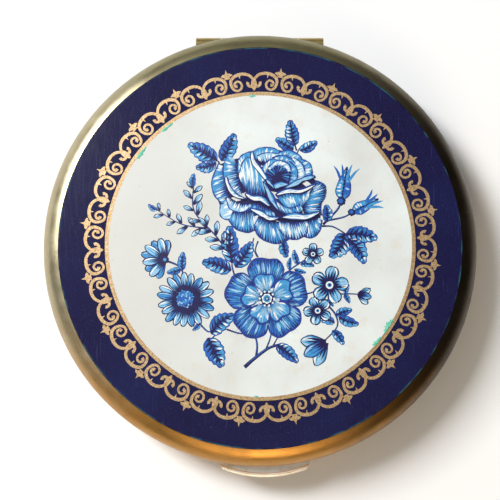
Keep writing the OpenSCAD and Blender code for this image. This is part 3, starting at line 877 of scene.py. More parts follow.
rose = {
    "centre": (2.2, 9.4), "heart": (3.3, 12.4),
    "shadow": [(-7.6, 14.8), (-8.6, 11.0), (-7.6, 7.4), (-6.4, 4.8), (-4.6, 3.4), (-1.4, 2.4),
               (2.6, 0.8), (7.0, 1.2), (10.6, 2.8), (11.2, 6.0), (11.4, 10.6), (9.4, 12.6),
               (8.8, 15.0), (5.8, 17.0), (1.4, 17.6), (-3.0, 16.2), (-4.8, 15.8), (-7.6, 14.8)],
    # near line, far line, tone, dark at the near line, dark at the far line
    "petals": [
        ([(-6.4, 14.2), (-6.2, 11.4), (-5.8, 8.0)],
         [(-7.8, 14.9), (-9.0, 11.6), (-8.5, 9.0), (-7.0, 7.4)], "light", 0.6, 0),
        ([(-5.0, 7.6), (-3.6, 6.6), (-1.8, 6.4)],
         [(-7.4, 7.2), (-7.4, 5.2), (-6.2, 4.4), (-4.8, 5.0)], "pale", 0.45, 0),
        ([(-5.2, 5.8), (-3.2, 6.0), (-1.4, 6.4)],
         [(-5.8, 4.2), (-4.4, 2.6), (-2.2, 2.0), (-0.6, 2.8)], "light", 0.55, 0.3),
        ([(-5.9, 8.6), (-4.0, 7.6), (-1.6, 7.4)],
         [(-6.2, 8.0), (-5.6, 6.4), (-3.6, 5.8), (-1.6, 6.6)], "pale", 0.5, 0),
        ([(-0.4, 5.0), (1.4, 4.2), (3.4, 3.9)],
         [(-1.2, 3.4), (-0.4, 1.4), (1.8, 0.1), (3.8, 0.0), (5.4, 0.9)], "light", 0.4, 0.42),
        ([(7.8, 4.0), (9.4, 4.4), (10.6, 4.6)], [(7.6, 1.4), (9.4, 1.0), (10.9, 2.2), (11.4, 4.4)],
         "light", 0.55, 0.3),
        ([(3.4, 4.2), (6.0, 4.0), (8.6, 4.2)],
         [(3.5, 2.6), (4.6, 1.2), (6.6, 0.7), (8.4, 1.6), (8.8, 3.2)], "pale", 0.42, 0.36),
        ([(-4.4, 15.2), (-4.0, 12.8), (-3.4, 9.4)],
         [(-6.0, 16.7), (-6.9, 14.0), (-6.2, 10.4), (-3.6, 8.4)], "light", 0.7, 0),
        ([(-3.2, 12.6), (-3.0, 14.8), (-1.4, 16.0)],
         [(-4.2, 13.4), (-4.0, 15.8), (-2.6, 17.0), (-1.0, 17.2)], "light", 0.4, 0),
        ([(-1.6, 15.6), (0.6, 15.6), (3.0, 16.0)],
         [(-1.8, 16.9), (-0.2, 17.9), (2.4, 17.9), (4.0, 17.0)], "light", 0.5, 0),
        ([(3.0, 15.8), (5.2, 16.0), (6.8, 14.6)],
         [(3.4, 17.0), (5.2, 17.5), (7.2, 16.6), (8.0, 15.2)], "light", 0.5, 0),
        ([(6.8, 15.0), (7.6, 13.4), (7.2, 11.8)],
         [(8.0, 15.7), (9.3, 14.9), (9.6, 13.0), (8.6, 11.6)], "light", 0.55, 0),
        ([(0.0, 15.2), (1.6, 15.0), (3.2, 15.2)], [(-0.6, 16.4), (1.2, 17.0), (3.4, 16.8)], "pale",
         0.6, 0),
        ([(5.4, 15.0), (6.4, 13.6), (6.2, 11.6)],
         [(6.2, 16.1), (7.8, 14.9), (8.3, 13.0), (7.6, 11.3)], "pale", 0.5, 0),
        ([(2.4, 14.9), (4.0, 15.1), (5.4, 14.5)],
         [(2.2, 16.0), (4.0, 16.5), (5.8, 15.8), (6.6, 14.8)], "light", 0.5, 0),
        ([(4.6, 14.4), (5.4, 13.0), (5.2, 11.4)],
         [(5.4, 15.4), (6.8, 14.0), (6.9, 12.4), (6.4, 11.0)], "light", 0.55, 0),
        ([(1.0, 11.6), (1.2, 13.2), (2.4, 14.4)],
         [(0.1, 12.6), (0.6, 14.6), (2.2, 15.8), (3.6, 15.4)], "light", 0.6, 0),
        ([(2.0, 13.4), (3.4, 14.4), (4.8, 13.6)],
         [(1.5, 14.2), (3.2, 15.5), (5.2, 14.9), (5.8, 13.6)], "pale", 0.6, 0),
    ],
    "hollow": [(1.3, 13.2), (2.4, 14.2), (3.9, 14.3), (5.2, 13.2), (5.4, 11.6), (4.2, 10.7),
               (2.6, 10.6), (1.6, 11.6), (1.3, 13.2)],
    "front": [
        ([(-3.4, 11.0), (-2.2, 9.2), (-0.2, 8.7), (1.6, 9.0)],
         [(-3.9, 13.2), (-3.2, 15.3), (-2.0, 16.1), (-0.6, 14.4), (0.8, 12.0)],
         "light", 0.42, 0),
        ([(-1.4, 7.6), (0.4, 7.0), (2.0, 6.2)], [(-2.4, 6.4), (-0.6, 5.4), (1.4, 4.6), (2.8, 4.8)],
         "mid", 0.6, 0),
        ([(8.0, 5.9), (8.3, 8.0), (9.8, 10.2)],
         [(11.3, 5.2), (11.2, 7.2), (12.0, 8.8), (12.0, 10.8), (10.4, 11.7)], "light", 0.35, 0.5),
        ([(5.8, 5.6), (7.4, 6.2), (8.4, 7.6)], [(3.0, 8.6), (5.4, 9.4), (7.8, 9.2), (9.4, 10.2)],
         "light", 0.45, 0.2),
        ([(3.6, 5.8), (5.6, 5.2), (7.8, 5.8)], [(2.7, 8.4), (3.6, 7.4), (5.4, 6.6), (7.4, 7.2)],
         "light", 0.5, 0.35),
    ],
    # line, width and tone of the turned edges
    "lips": [
        ([(2.2, 10.2), (3.6, 10.9), (5.2, 11.0)], 0.9, "pale"),
        ([(4.4, 10.2), (6.6, 11.2), (8.4, 12.1), (10.2, 12.5)], 0.95, "light"),
        ([(2.8, 8.9), (5.0, 9.7), (7.6, 9.7), (10.6, 11.2)], 0.95, "white"),
        ([(-1.5, 17.2), (-1.3, 15.4), (0.2, 13.3), (2.1, 10.4)], 1.0, "white"),
        ([(0.5, 11.6), (1.4, 9.7), (2.2, 8.0), (3.4, 6.0)], 0.8, "pale"),
        ([(-6.4, 12.6), (-6.0, 10.8), (-4.7, 9.0), (-2.6, 8.2)], 0.8, "white"),
        ([(-2.8, 9.3), (-1.4, 8.4), (0.2, 8.2), (1.8, 6.8)], 1.0, "white"),
        ([(-1.9, 6.4), (0.0, 5.6), (1.6, 4.6), (3.5, 4.7)], 1.0, "white"),
        ([(3.8, 4.7), (6.2, 5.0), (8.6, 4.9), (11.1, 5.9)], 1.05, "white"),
        ([(1.0, 12.0), (1.9, 11.0), (2.6, 10.2)], 0.55, "pale"),
    ],
}


def drawLip(drawing, points, wide, level, rng, tone):
    # the turned-over edge of a rose petal: a pale band that swells and narrows
    line = curveThrough(points, 25)
    bulge = [rng.uniform(0.7, 1.25) for _ in range(5)]
    near, far = [], []
    for i in range(0, 25, 3):
        t = i / 24
        ahead = line[min(i + 1, 24)] - line[max(i - 1, 0)]
        side = Vector((-ahead.y, ahead.x)).normalized()
        half = wide / 2 * (0.1 + math.sin(math.pi * t) ** 0.7) * bulge[int(t * 4)]
        near.append(line[i] - side * half)
        far.append(line[i] + side * half)
    lift = medallionLift + level * layer
    nearLine, farLine = curveThrough(near, 25), curveThrough(far, 25)
    middle = [a.lerp(b, 0.45) for a, b in zip(nearLine, farLine)]
    layStrip(drawing, nearLine, farLine, inked("light"), lift)
    layStroke(drawing, middle[1:-1], taper(wide * 0.66, 0.45, 0.1),
              inked("white" if tone == "white" else "pale"), lift + layer)
    for _ in range(round(lineLength(line) * 0.9)):
        t = rng.uniform(0.08, 0.9)
        dash = [along(line, t + 0.05 * j) + Vector((0.05, 0.04)) * j for j in range(3)]
        layStroke(drawing, dash, taper(0.14), inked("light"), lift + 1.5 * layer)
    for outline, ink in ((nearLine, "navy"), (farLine, "deep")):
        wobble = [rng.uniform(0.5, 1.3) for _ in range(6)]
        layStroke(drawing, outline, lambda t: 0.24 * wobble[int(t * 5)], inked(ink), lift + 2 * layer)


def drawRose(drawing, rng):
    # cabbage rose: dark ground, outer and back petals, the hollow, then the front petals and their
    # turned edges
    layStrip(drawing, [Vector(rose["centre"])] * 70, curveThrough(rose["shadow"], 70), inked("navy"),
             medallionLift - 0.002, 6)
    level = 1
    for near, far, tone, dark, farDark in rose["petals"]:
        shadePetal(drawing, near, far, level, rng, tone=tone, dark=dark, farDark=farDark, shine=0.7,
                   density=2.1, edge=0.24)
        level += 4
    hollow = curveThrough(rose["hollow"], 40)
    heart = Vector(rose["heart"])
    layStrip(drawing, [heart] * 40, hollow, inked("navy"), medallionLift + level * layer, 3)
    for k in range(13):
        a = -0.35 + k * 0.31
        start = Vector(fromPolar(heart, a, 2.0 + 0.3 * rng.random()))
        end = Vector(fromPolar(heart, a + 0.2, rng.uniform(0.6, 1.3)))
        layStroke(drawing, curveThrough([start, (start + end) / 2 + Vector((0.06, 0.05)), end], 6),
                  lambda t: 0.36 * (1 - t) + 0.04, inked(("mid", "light", "mid", "deep")[k % 4]),
                  medallionLift + (level + 1) * layer)
    level += 3
    for near, far, tone, dark, farDark in rose["front"]:
        shadePetal(drawing, near, far, level, rng, tone=tone, dark=dark, farDark=farDark, shine=0.65,
                   density=2.3, edge=0.24)
        level += 4
    for points, wide, tone in rose["lips"]:
        drawLip(drawing, points, wide, level, rng, tone)
        level += 3


def drawEye(drawing, centre, reach, level, rings):
    # a flower's middle: discs of ink, each on the one before
    for raised, (size, ink, wave) in enumerate(rings):
        drawDisc(drawing, centre, reach * size, ink, level + raised, wave)


def drawDaisy(drawing, centre, reach, count, rng):
    for k in range(count):
        a = 2 * math.pi * k / count + rng.uniform(-0.05, 0.05)
        drawPetal(drawing, fromPolar(centre, a, reach * 0.3),
                  fromPolar(centre, a, reach * rng.uniform(0.93, 1.04)), reach * 0.25, 2 + (k % 2) * 4,
                  rng, tone="light" if k % 3 else "mid", dark=0.42, round=0.6, edge=0.2)
    drawDisc(drawing, centre, reach * 0.42, "navy", 11, 0.08)
    lit = (centre[0] - 0.2, centre[1] + 0.15)
    drawDisc(drawing, lit, reach * 0.29, "mid", 12, 0.05)
    for k in range(60):
        spot = fromPolar(lit, rng.uniform(0, 2 * math.pi), reach * 0.31 * math.sqrt(rng.random()))
        shady = spot[0] - centre[0] - (spot[1] - centre[1]) > 0.5
        drawDisc(drawing, spot, 0.16, "navy" if shady and k % 2 else "pale" if k % 3 == 0 else "light",
                 13 + k * 0.05, sides=6)


flower = {"petals": 5, "notch": 0.12, "overlap": 0.92, "inner": 0.2, "eye": 0.15}


def drawFlower(drawing, centre, reach, rng, turn, level):
    # open flower: each petal fans out from the middle, with a notched outer edge
    inner = flower["inner"]
    for k in range(flower["petals"]):
        a = turn + 2 * math.pi * k / flower["petals"] + rng.uniform(-0.04, 0.04)
        half = math.pi / flower["petals"] * flower["overlap"]
        near = [fromPolar(centre, a + half * s * 0.75, reach * inner) for s in (-1, -0.5, 0, 0.5, 1)]
        size = reach * rng.uniform(0.94, 1.05)
        outer = []
        for s, out in ((-0.9, inner + 0.25), (-1.0, 0.72), (-0.66, 0.95), (-0.15, 1.02 - flower["notch"]),
                       (0.3, 1.02), (0.8, 0.9), (1.02, 0.68), (0.9, inner + 0.25)):
            outer.append(fromPolar(centre, a + half * s, size * out * rng.uniform(0.97, 1.03)))
        shadePetal(drawing, near, outer, level + (k % 2) * 4.5, rng, tone="light", dark=0.9,
                   light=(0.5, 0.95), density=1.9, samples=29, edge=0.36, shine=0.7)
    drawEye(drawing, centre, flower["eye"] * reach, level + 10,
            ((1.75, "navy", 0.1), (1.25, "white", 0.1), (0.95, "light", 0), (0.55, "navy", 0),
             (0.28, "pale", 0)))


def drawBud(drawing, base, tip, width, rng):
    # closed bud with long sepals that flare at the tip
    level = 4
    base, tip = Vector(base), Vector(tip)
    run = tip - base
    side = Vector((-run.y, run.x)).normalized()
    for half, tone in ((-1, "mid"), (1, "light")):
        outer = [base, base + run * 0.2 + side * half * width * 0.5,
                 base + run * 0.45 + side * half * width * 0.5,
                 base + run * 0.75 + side * half * width * 0.26, tip]
        shadePetal(drawing, [base, base + run * 0.5, tip], outer, level, rng, tone=tone, dark=0.2,
                   light=(0.3, 0.9), density=1.5, samples=17, edge=0.22)
    for lean, reach in ((-0.55, 0.75), (-0.2, 1.0), (0.25, 0.85), (0.6, 0.6)):
        root = base + run * 0.55 + side * lean * width * 0.45
        end = base + run * (0.75 + 0.35 * reach) + side * lean * width * 1.7
        layStroke(drawing, curveThrough([root, (root + end) / 2 + run * 0.06, end], 8),
                  taper(0.5, 0.25, 0.05), inked("light" if lean < 0 else "mid"),
                  medallionLift + (level + 5) * layer)
    drawDisc(drawing, base, width * 0.33, "navy", level + 6, 0.1)
    drawDisc(drawing, base + side * 0.1, width * 0.18, "mid", level + 7, 0.1)


bouquet = {
    "seed": 41,
    # points in mm from the middle of the lid, and width
    "stems": [
        ([(-7.8, 15.4), (-6.9, 13.2)], 0.3), ([(-11.0, 16.6), (-7.8, 15.4)], 0.22),
        ([(6.8, 17.4), (6.2, 19.4)], 0.3), ([(6.2, 15.6), (7.4, 18.0)], 0.3),
        ([(11.6, 3.5), (14.2, 6.2), (15.0, 7.8)], 0.42),
        ([(12.2, 4.2), (15.4, 4.9), (17.0, 5.8)], 0.34),
        ([(11.4, 3.2), (13.4, 3.1), (15.6, 1.9)], 0.32),
        ([(-5.9, -1.6), (-8.4, 1.6), (-12.2, 6.0), (-12.4, 10.6)], 0.3),
        ([(-9.6, 2.8), (-14.6, 3.6), (-19.0, 6.2)], 0.24),
        ([(-17.3, -3.2), (-14.9, -4.3), (-13.9, -6.4)], 0.36),
        ([(-4.6, -6.4), (-5.2, -4.2), (-5.0, -2.8)], 0.3),
        ([(-11.6, -14.2), (-9.6, -16.2), (-8.2, -15.6)], 0.32), ([(-7.4, -16.0), (-9.0, -17.6)], 0.3),
        ([(-6.2, -15.8), (-3.4, -16.6), (-1.6, -15.8)], 0.3),
        ([(-2.9, -22.7), (-1.2, -21.2), (1.4, -19.3), (3.4, -18.6)], 0.62),
        ([(-0.8, -20.9), (-0.6, -18.6), (-1.2, -16.0)], 0.4),
        ([(1.0, -19.5), (1.8, -17.4), (2.2, -15.0)], 0.3),
        ([(2.2, -19.0), (3.2, -17.2), (4.0, -15.4)], 0.26),
        ([(4.6, -6.2), (5.6, -4.8), (8.0, -3.2), (9.0, -2.5)], 0.3),
        ([(-0.4, 0.4), (-0.9, -1.2), (-0.4, -2.6)], 0.26),
        ([(-1.2, 1.0), (-1.4, -0.6), (-0.6, -2.6)], 0.2),
        ([(6.8, -9.4), (9.0, -9.2), (10.4, -8.6)], 0.3),
        ([(13.4, -9.4), (16.2, -9.3), (18.4, -9.4)], 0.28),
        ([(12.2, -11.2), (13.8, -13.2), (14.0, -15.4), (11.6, -18.0)], 0.32),
        ([(14.2, -13.0), (15.8, -14.2)], 0.24),
    ],
    # base, tip, width, and the half that is lit
    "leaves": [
        ((-8.0, 15.5), (-13.4, 18.7), 3.3, 1), ((-7.2, 15.5), (-4.8, 20.6), 3.0, -1),
        ((-8.2, 15.0), (-11.9, 14.2), 2.4, 1), ((6.4, 18.4), (5.6, 23.2), 2.6, 1),
        ((6.2, 17.6), (2.9, 19.7), 2.2, -1), ((7.4, 17.4), (10.6, 19.2), 2.0, 1),
        ((12.4, 4.0), (12.2, 7.2), 2.0, -1), ((15.6, 1.9), (13.0, -2.6), 3.6, 1),
        ((15.8, 1.7), (21.6, 1.0), 3.2, -1), ((16.2, 0.9), (19.2, -3.7), 3.0, 1),
        ((-5.2, -3.6), (-5.6, 3.2), 3.4, 1), ((-4.6, -4.4), (-1.6, 0.2), 2.9, -1),
        ((-5.4, -5.0), (-10.6, -3.4), 3.0, 1), ((-14.4, -5.0), (-14.2, -1.6), 1.6, 1),
        ((-14.6, -4.8), (-17.2, -5.4), 1.4, -1), ((-9.0, -16.6), (-4.8, -13.2), 3.2, -1),
        ((-9.6, -17.4), (-7.0, -22.6), 3.6, 1), ((4.2, 0.4), (4.8, -2.6), 1.9, -1),
        ((3.0, -18.6), (6.8, -21.8), 2.4, 1), ((7.0, -4.0), (6.2, -1.2), 1.2, 1),
        ((7.4, -3.9), (9.9, -4.2), 1.2, -1), ((5.4, -5.0), (5.6, -2.6), 0.9, 1),
        ((6.2, -4.8), (8.4, -5.4), 0.9, 1), ((13.8, -13.2), (16.8, -12.2), 1.7, 1),
        ((14.4, -13.6), (18.0, -14.9), 1.9, -1), ((13.6, -14.6), (10.6, -13.8), 1.7, 1),
        ((13.2, -16.0), (15.2, -18.6), 1.7, -1), ((11.9, -10.4), (13.4, -11.6), 0.9, 1),
        ((15.6, -9.3), (16.2, -7.6), 1.1, -1), ((15.4, -9.4), (16.4, -11.0), 1.0, 1),
        ((-11.0, -14.6), (-12.4, -16.0), 1.0, 1),
    ],
    # stem, pairs of leaflets, their length
    "ferns": [
        ([(-5.9, -1.6), (-8.4, 1.6), (-12.2, 6.0), (-12.4, 10.6)], 14, 2.5),
        ([(-9.6, 2.8), (-14.6, 3.6), (-19.0, 6.2)], 9, 2.1),
    ],
    "daisy": (-13.6, -10.4), "sideDaisy": (-17.6, -3.0), "bloom": (1.2, -10.2),
    # middle, size, turn
    "florets": [((9.7, -2.0), 2.0, 0.3), ((12.7, -7.7), 3.5, 0.1), ((10.5, -12.4), 2.6, 0.7)],
    # base, tip, width
    "buds": [((15.0, 7.9), (16.2, 14.4), 2.5), ((16.9, 5.8), (22.0, 8.4), 2.1)],
    # half-open buds in three petals: base, tip
    "tufts": [((18.0, -9.4), (20.4, -9.9)), ((12.0, -18.2), (8.0, -20.6))],
}


def drawBouquet():
    rng = random.Random(bouquet["seed"])
    stems = newDrawing()
    for points, width in bouquet["stems"]:
        drawStem(stems, points, width)
    drawingPiece("printedStems", stems, inkMaterials)

    foliage = newDrawing()
    for base, tip, width, sunny in bouquet["leaves"]:
        drawLeaf(foliage, base, tip, width, 2, rng, bend=rng.uniform(-0.08, 0.12), sunny=sunny,
                 teeth=6 if width > 2.2 else 4)
    # fern sprays: small paired leaflets along two stems
    for stem, count, size in bouquet["ferns"]:
        line = curveThrough(stem, count * 2 + 1)
        for k in range(count):
            point = line[2 * k + 1]
            run = (line[2 * k + 2] - line[2 * k]).normalized()
            side = Vector((-run.y, run.x)) * (1 if k % 2 else -1)
            reach = size * (1.1 - 0.4 * k / count) * rng.uniform(0.8, 1.15)
            tip = point + (run * 0.75 + side * 0.85) * reach
            drawPetal(foliage, point + side * 0.1, tip, reach * 0.42, 2, rng,
                      tone="light", dark=0.35, round=0.45, edge=0.15)
        drawLeaf(foliage, line[-1], line[-1] + (line[-1] - line[-3]).normalized() * size, size * 0.5, 2,
                 rng, teeth=3)
    drawingPiece("printedLeaves", foliage, inkMaterials)

    roseInk = newDrawing()
    drawRose(roseInk, rng)
    drawingPiece("printedRose", roseInk, inkMaterials)

    daisies = newDrawing()
    drawDaisy(daisies, bouquet["daisy"], 5.3, 19, rng)
    # the second daisy is seen from the side
    calyx = bouquet["sideDaisy"]
    for k in (0, 8, 2, 6, 4, 1, 7, 3, 5):
        a = math.radians(82 + 21 * k)
        reach = 4.5 - 0.8 * abs(k - 4) / 4 + rng.uniform(-0.2, 0.2)
        drawPetal(daisies, fromPolar(calyx, a, 0.3), fromPolar(calyx, a, reach), 1.5, 4 + (k % 2) * 4,
                  rng, tone="light" if k % 2 else "mid", dark=0.45, round=0.65)
    drawDisc(daisies, calyx, 0.75, "navy", 14, 0.05)
    drawDisc(daisies, calyx, 0.3, "light", 15)
    drawingPiece("printedDaisies", daisies, inkMaterials)

    blooms = newDrawing()
    middle = bouquet["bloom"]
    for k in (1, 4, 0, 2, 3):
        a = math.radians(92) + 2 * math.pi * k / 5
        foot = Vector(fromPolar(middle, a, 2.6))
        head = Vector(fromPolar(middle, a, 7.6 * rng.uniform(0.96, 1.03)))
        aside = Vector((math.sin(a), -math.cos(a)))
        out = (head - foot).normalized()
        near = [foot + aside * t + out * 0.2 * abs(t) for t in (-2.6, -1.3, 0, 1.3, 2.6)]
        far = [foot - aside * 2.9 + out * 1.4, foot - aside * 3.3 + out * 2.9,
               foot - aside * 2.2 + out * 4.5, head - aside * 0.7, head + aside * 0.6 - out * 0.25,
               foot + aside * 2.4 + out * 4.4, foot + aside * 3.3 + out * 2.8,
               foot + aside * 2.8 + out * 1.3]
        shadePetal(blooms, near, far, 4 + 4 * (k % 2), rng, tone="mid", dark=1.0, farDark=0.3,
                   density=1.9, samples=33, edge=0.36, shine=0.9)
    drawFlower(blooms, middle, 4.8, rng, math.radians(100), 16)
    for k in range(10):
        drawDisc(blooms, fromPolar(middle, 2 * math.pi * k / 10, 1.32), 0.2, "white", 36, sides=6)
    for centre, reach, turn in bouquet["florets"]:
        for k in range(5):
            a = turn + 2 * math.pi * k / 5
            drawPetal(blooms, fromPolar(centre, a, reach * 0.12), fromPolar(centre, a, reach),
                      reach * 0.7, 6 + (k % 2) * 4, rng, tone="light", dark=0.5, round=0.68, edge=0.2)
        drawEye(blooms, centre, reach, 15,
                ((0.3, "navy", 0), (0.2, "white", 0), (0.12, "light", 0), (0.07, "navy", 0)))
    drawingPiece("printedBlooms", blooms, inkMaterials)

    buds = newDrawing()
    for base, tip, width in bouquet["buds"]:
        drawBud(buds, base, tip, width, rng)
    for base, tip in bouquet["tufts"]:
        for spread in (-0.6, 0.0, 0.6):
            run = Vector(tip) - Vector(base)
            turned = Vector((run.x * math.cos(spread) - run.y * math.sin(spread),
                             run.x * math.sin(spread) + run.y * math.cos(spread)))
            drawPetal(buds, base, Vector(base) + turned, run.length * 0.5, 4 + 4 * (spread == 0), rng,
                      tone="light" if spread else "mid", dark=0.5, round=0.5)
    drawingPiece("printedBuds", buds, inkMaterials)


drawBouquet()
print("bouquet drawn")


corrosion = {
    "seed": 7, "rings": 4, "spokes": 22, "high": 0.09,
    # place on the medallion's edge in degrees, and size in mm
    "chips": ((93.0, 0.55), (129.3, 0.85), (127.2, 0.5), (142.8, 0.9), (141.0, 0.5),
              (-32.6, 1.15), (-34.4, 0.7), (-40.5, 0.8), (-39.0, 0.5), (268.5, 0.3)),
}


def drawCorrosion():
    rng = random.Random(corrosion["seed"])
    rings, spokes = corrosion["rings"], corrosion["spokes"]
    verts, faces = [], []
    for degrees, size in corrosion["chips"]:
        a = math.radians(degrees)
        centre = Vector(fromPolar((0, 0), a, medallionR - 0.15))
        aside = Vector((-math.sin(a), math.cos(a)))
        out = Vector((math.cos(a), math.sin(a)))
        start = len(verts)
        rough = [rng.uniform(0.65, 1.3) for _ in range(spokes)]
        verts.append(onDome(centre.x, centre.y, medallionLift + 0.10))
        for ring in range(1, rings + 1):
            for k in range(spokes):
                turn = 2 * math.pi * k / spokes
                reach = size * rough[k] * ring / rings
                p = centre + aside * reach * math.cos(turn) * 1.25 + out * reach * math.sin(turn) * 0.55
                high = corrosion["high"] * (1 - (ring / rings) ** 2) * rng.uniform(0.7, 1.2)
                base = medallionLift + 0.02 if p.length < medallionR else 0.02
                verts.append(onDome(p.x, p.y, base + high))
        faces += [(start, start + 1 + k, start + 1 + (k + 1) % spokes) for k in range(spokes)]
        faces += ringFaces(rings, spokes, start + 1, flip=True)
    newPiece("verdigrisChips", verts, faces, [crust], "lid")


drawCorrosion()
print("corrosion drawn")


def sweepTube(path, radius, sides=8, closed=False):
    # round wire along a path; radius is a number or a function of the share of the way
    verts = []
    up = Vector((0, 0, 1))
    last = len(path) - 1
    for i, point in enumerate(path):
        if closed:
            ahead = path[(i + 1) % len(path)] - path[i - 1]
        else:
            ahead = path[min(i + 1, last)] - path[max(i - 1, 0)]
        ahead.normalize()
        side = ahead.cross(up)
        if side.length < 0.05:
            side = ahead.cross(Vector((0, 1, 0)))
        side.normalize()
        up = side.cross(ahead).normalized()
        r = radius(i / last) if callable(radius) else radius
        for k in range(sides):
            a = 2 * math.pi * k / sides
            verts.append((point + side * r * math.cos(a) + up * r * math.sin(a)) * mm)
    faces = ringFaces(len(path), sides, closed=closed)
    if not closed:
        faces.append(tuple(reversed(range(sides))))
        faces.append(tuple(range(last * sides, len(verts))))
    return verts, faces


powder = {"rings": 70, "spokes": 200, "dish": 0.35, "lumps": 0.22}


def makePowder():
    # heaped a little against the wall, with soft lumps; its underside is flat on the tray
    low, high = boxMm("powder_fill")
    outer, top = high[0], high[2]
    spokes, rings = powder["spokes"], powder["rings"]
    verts = [Vector((0, 0, 0))]
    for ring in range(1, rings + 1):
        for k in range(spokes):
            verts.append(Vector((*fromPolar((0, 0), 2 * math.pi * k / spokes, outer * ring / rings), 0)))
    for v in verts:
        lump = 0.6 * noise.noise(v * 0.35) + 0.4 * noise.noise(v * 1.1)
        inside = 1 - (v.length / outer) ** 4
        v.z = top - 0.02 - inside * powder["dish"] - powder["lumps"] * (0.5 + 0.5 * lump)
    start = len(verts)
    verts += [Vector((v.x, v.y, low[2])) for v in verts[-spokes:]]
    faces = [(0, 1 + k, 1 + (k + 1) % spokes) for k in range(spokes)]
    faces += ringFaces(rings + 1, spokes, 1, flip=True)
    faces.append(tuple(reversed(range(start, start + spokes))))
    piece = newPiece("loosePowder", [v * mm for v in verts], faces, [facePowder()], "base")
    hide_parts("powder_fill")


gauze = {"pitch": 0.9, "threadWidth": 0.42, "threadThick": 0.045, "sway": 0.028}


def makeNet():
    # plain weave: every thread passes over one and under the next
    low, high = boxMm("sifter_net")
    outer, level = high[0] - 0.02, (low[2] + high[2]) / 2
    half, thick = gauze["threadWidth"] / 2, gauze["threadThick"] / 2
    verts, faces = [], []
    count = int(outer / gauze["pitch"])
    for direction in (0, 1):
        for line in range(-count, count + 1):
            offset = line * gauze["pitch"]
            reach = math.sqrt(max(outer ** 2 - offset ** 2, 0))
            if reach < 1:
                continue
            crossings = [k for k in range(-count - 1, count + 2) if abs(k * gauze["pitch"]) < reach - 0.2]
            stations = [(-reach, 0)] + [(k * gauze["pitch"], 1 if (k + line + direction) % 2 else -1)
                                        for k in crossings] + [(reach, 0)]
            start = len(verts)
            for t, sway in stations:
                z = level + sway * gauze["sway"]
                for across, lift in ((-half, 0), (0, -thick), (half, 0), (0, thick)):
                    x, y = (t, offset + across) if direction == 0 else (offset - across, t)
                    verts.append(Vector((x, y, z + lift)) * mm)
            faces += ringFaces(len(stations), 4, start)
            faces.append(tuple(reversed(range(start, start + 4))))
            faces.append(tuple(range(len(verts) - 4, len(verts))))
    piece = newPiece("sifterGauze", verts, faces, [nylonThread()], "base")
    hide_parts("sifter_net")


puff = {
    "simScale": 10,            # the cloth solver is steadier on a larger copy
    "blankRadius": 26.75, "blankThick": 2.1, "edgeThick": 0.9,
    "voxel": 1.0, "pressure": 4, "frames": 20, "maxMove": 0.55,
    "gathers": 46, "gatherDepth": 0.07, "gatherFrom": 23,
}


def puffBlank(low, high):
    middle = (low[2] + high[2]) / 2
    r, half, lip = puff["blankRadius"], puff["blankThick"] / 2, puff["edgeThick"] / 2
    profile = [(0.01, middle - half), (r * 0.5, middle - half), (r * 0.86, middle - half * 0.95),
               (r * 0.96, middle - half * 0.75), (r - 0.15, middle - lip), (r, middle),
               (r - 0.15, middle + lip), (r * 0.96, middle + half * 0.75),
               (r * 0.86, middle + half * 0.95), (r * 0.5, middle + half), (0.01, middle + half)]
    verts, faces = latheMesh(profile, 96)
    faces.append(tuple(reversed(range(96))))
    faces.append(tuple(range(len(verts) - 96, len(verts))))
    return [Vector(v) * puff["simScale"] for v in verts], faces


def swell(obj, frames):
    # blow the cloth up, and give back where each point ends
    cloth = obj.modifiers.new("stuffing", "CLOTH")
    cloth.settings.quality = 6
    cloth.settings.mass = 0.3
    cloth.settings.use_pressure = True
    cloth.settings.uniform_pressure_force = puff["pressure"]
    cloth.settings.effector_weights.gravity = 0
    cloth.point_cache.frame_start = 1
    cloth.point_cache.frame_end = frames
    scene = bpy.context.scene
    for frameNumber in range(1, frames + 1):
        scene.frame_set(frameNumber)
    shaped = obj.evaluated_get(bpy.context.evaluated_depsgraph_get()).to_mesh()
    ends = [v.co.copy() for v in shaped.vertices]
    scene.frame_set(1)
    obj.modifiers.remove(cloth)
    return ends


def makePuff():
    # stuffed velour pad: blown up as cloth, then held inside the space it is packed in
    low, high = boxMm("puff_pad")
    verts, faces = puffBlank(low, high)
    piece = newPiece("powderPuff", verts, faces, [puffVelour()], "base")
    remesh = piece.modifiers.new("voxels", "REMESH")
    remesh.mode = "VOXEL"
    remesh.voxel_size = puff["voxel"] * puff["simScale"] * mm
    remeshed = bpy.data.meshes.new_from_object(piece.evaluated_get(bpy.context.evaluated_depsgraph_get()))
    piece.modifiers.remove(remesh)
    piece.data = remeshed
    ends = swell(piece, puff["frames"])
    for v, end in zip(remeshed.vertices, ends):
        move = end - v.co
        reach = puff["maxMove"] * puff["simScale"] * mm
        v.co += move * min(1, reach / max(move.length, 1e-9))
    for v in remeshed.vertices:
        p = v.co / (puff["simScale"] * mm)
        r, a = math.hypot(p.x, p.y), math.atan2(p.y, p.x)
        gather = (max(0, (r - puff["gatherFrom"]) / 4) * puff["gatherDepth"]
                  * math.sin(a * puff["gathers"] + 2 * noise.noise(p * 0.3)))
        p.z += gather if p.z > (low[2] + high[2]) / 2 else -gather
        p.z = min(max(p.z + 0.05 * noise.noise(p * 0.4), low[2] + 0.04), high[2] - 0.06)
        if r > high[0] - 0.1:
            p.x *= (high[0] - 0.1) / r
            p.y *= (high[0] - 0.1) / r
        v.co = p * mm
    remeshed.polygons.foreach_set("use_smooth", [True] * len(remeshed.polygons))
    soften = piece.modifiers.new("softened", "SUBSURF")
    soften.levels = soften.render_levels = 1
    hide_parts("puff_pad")
    return piece


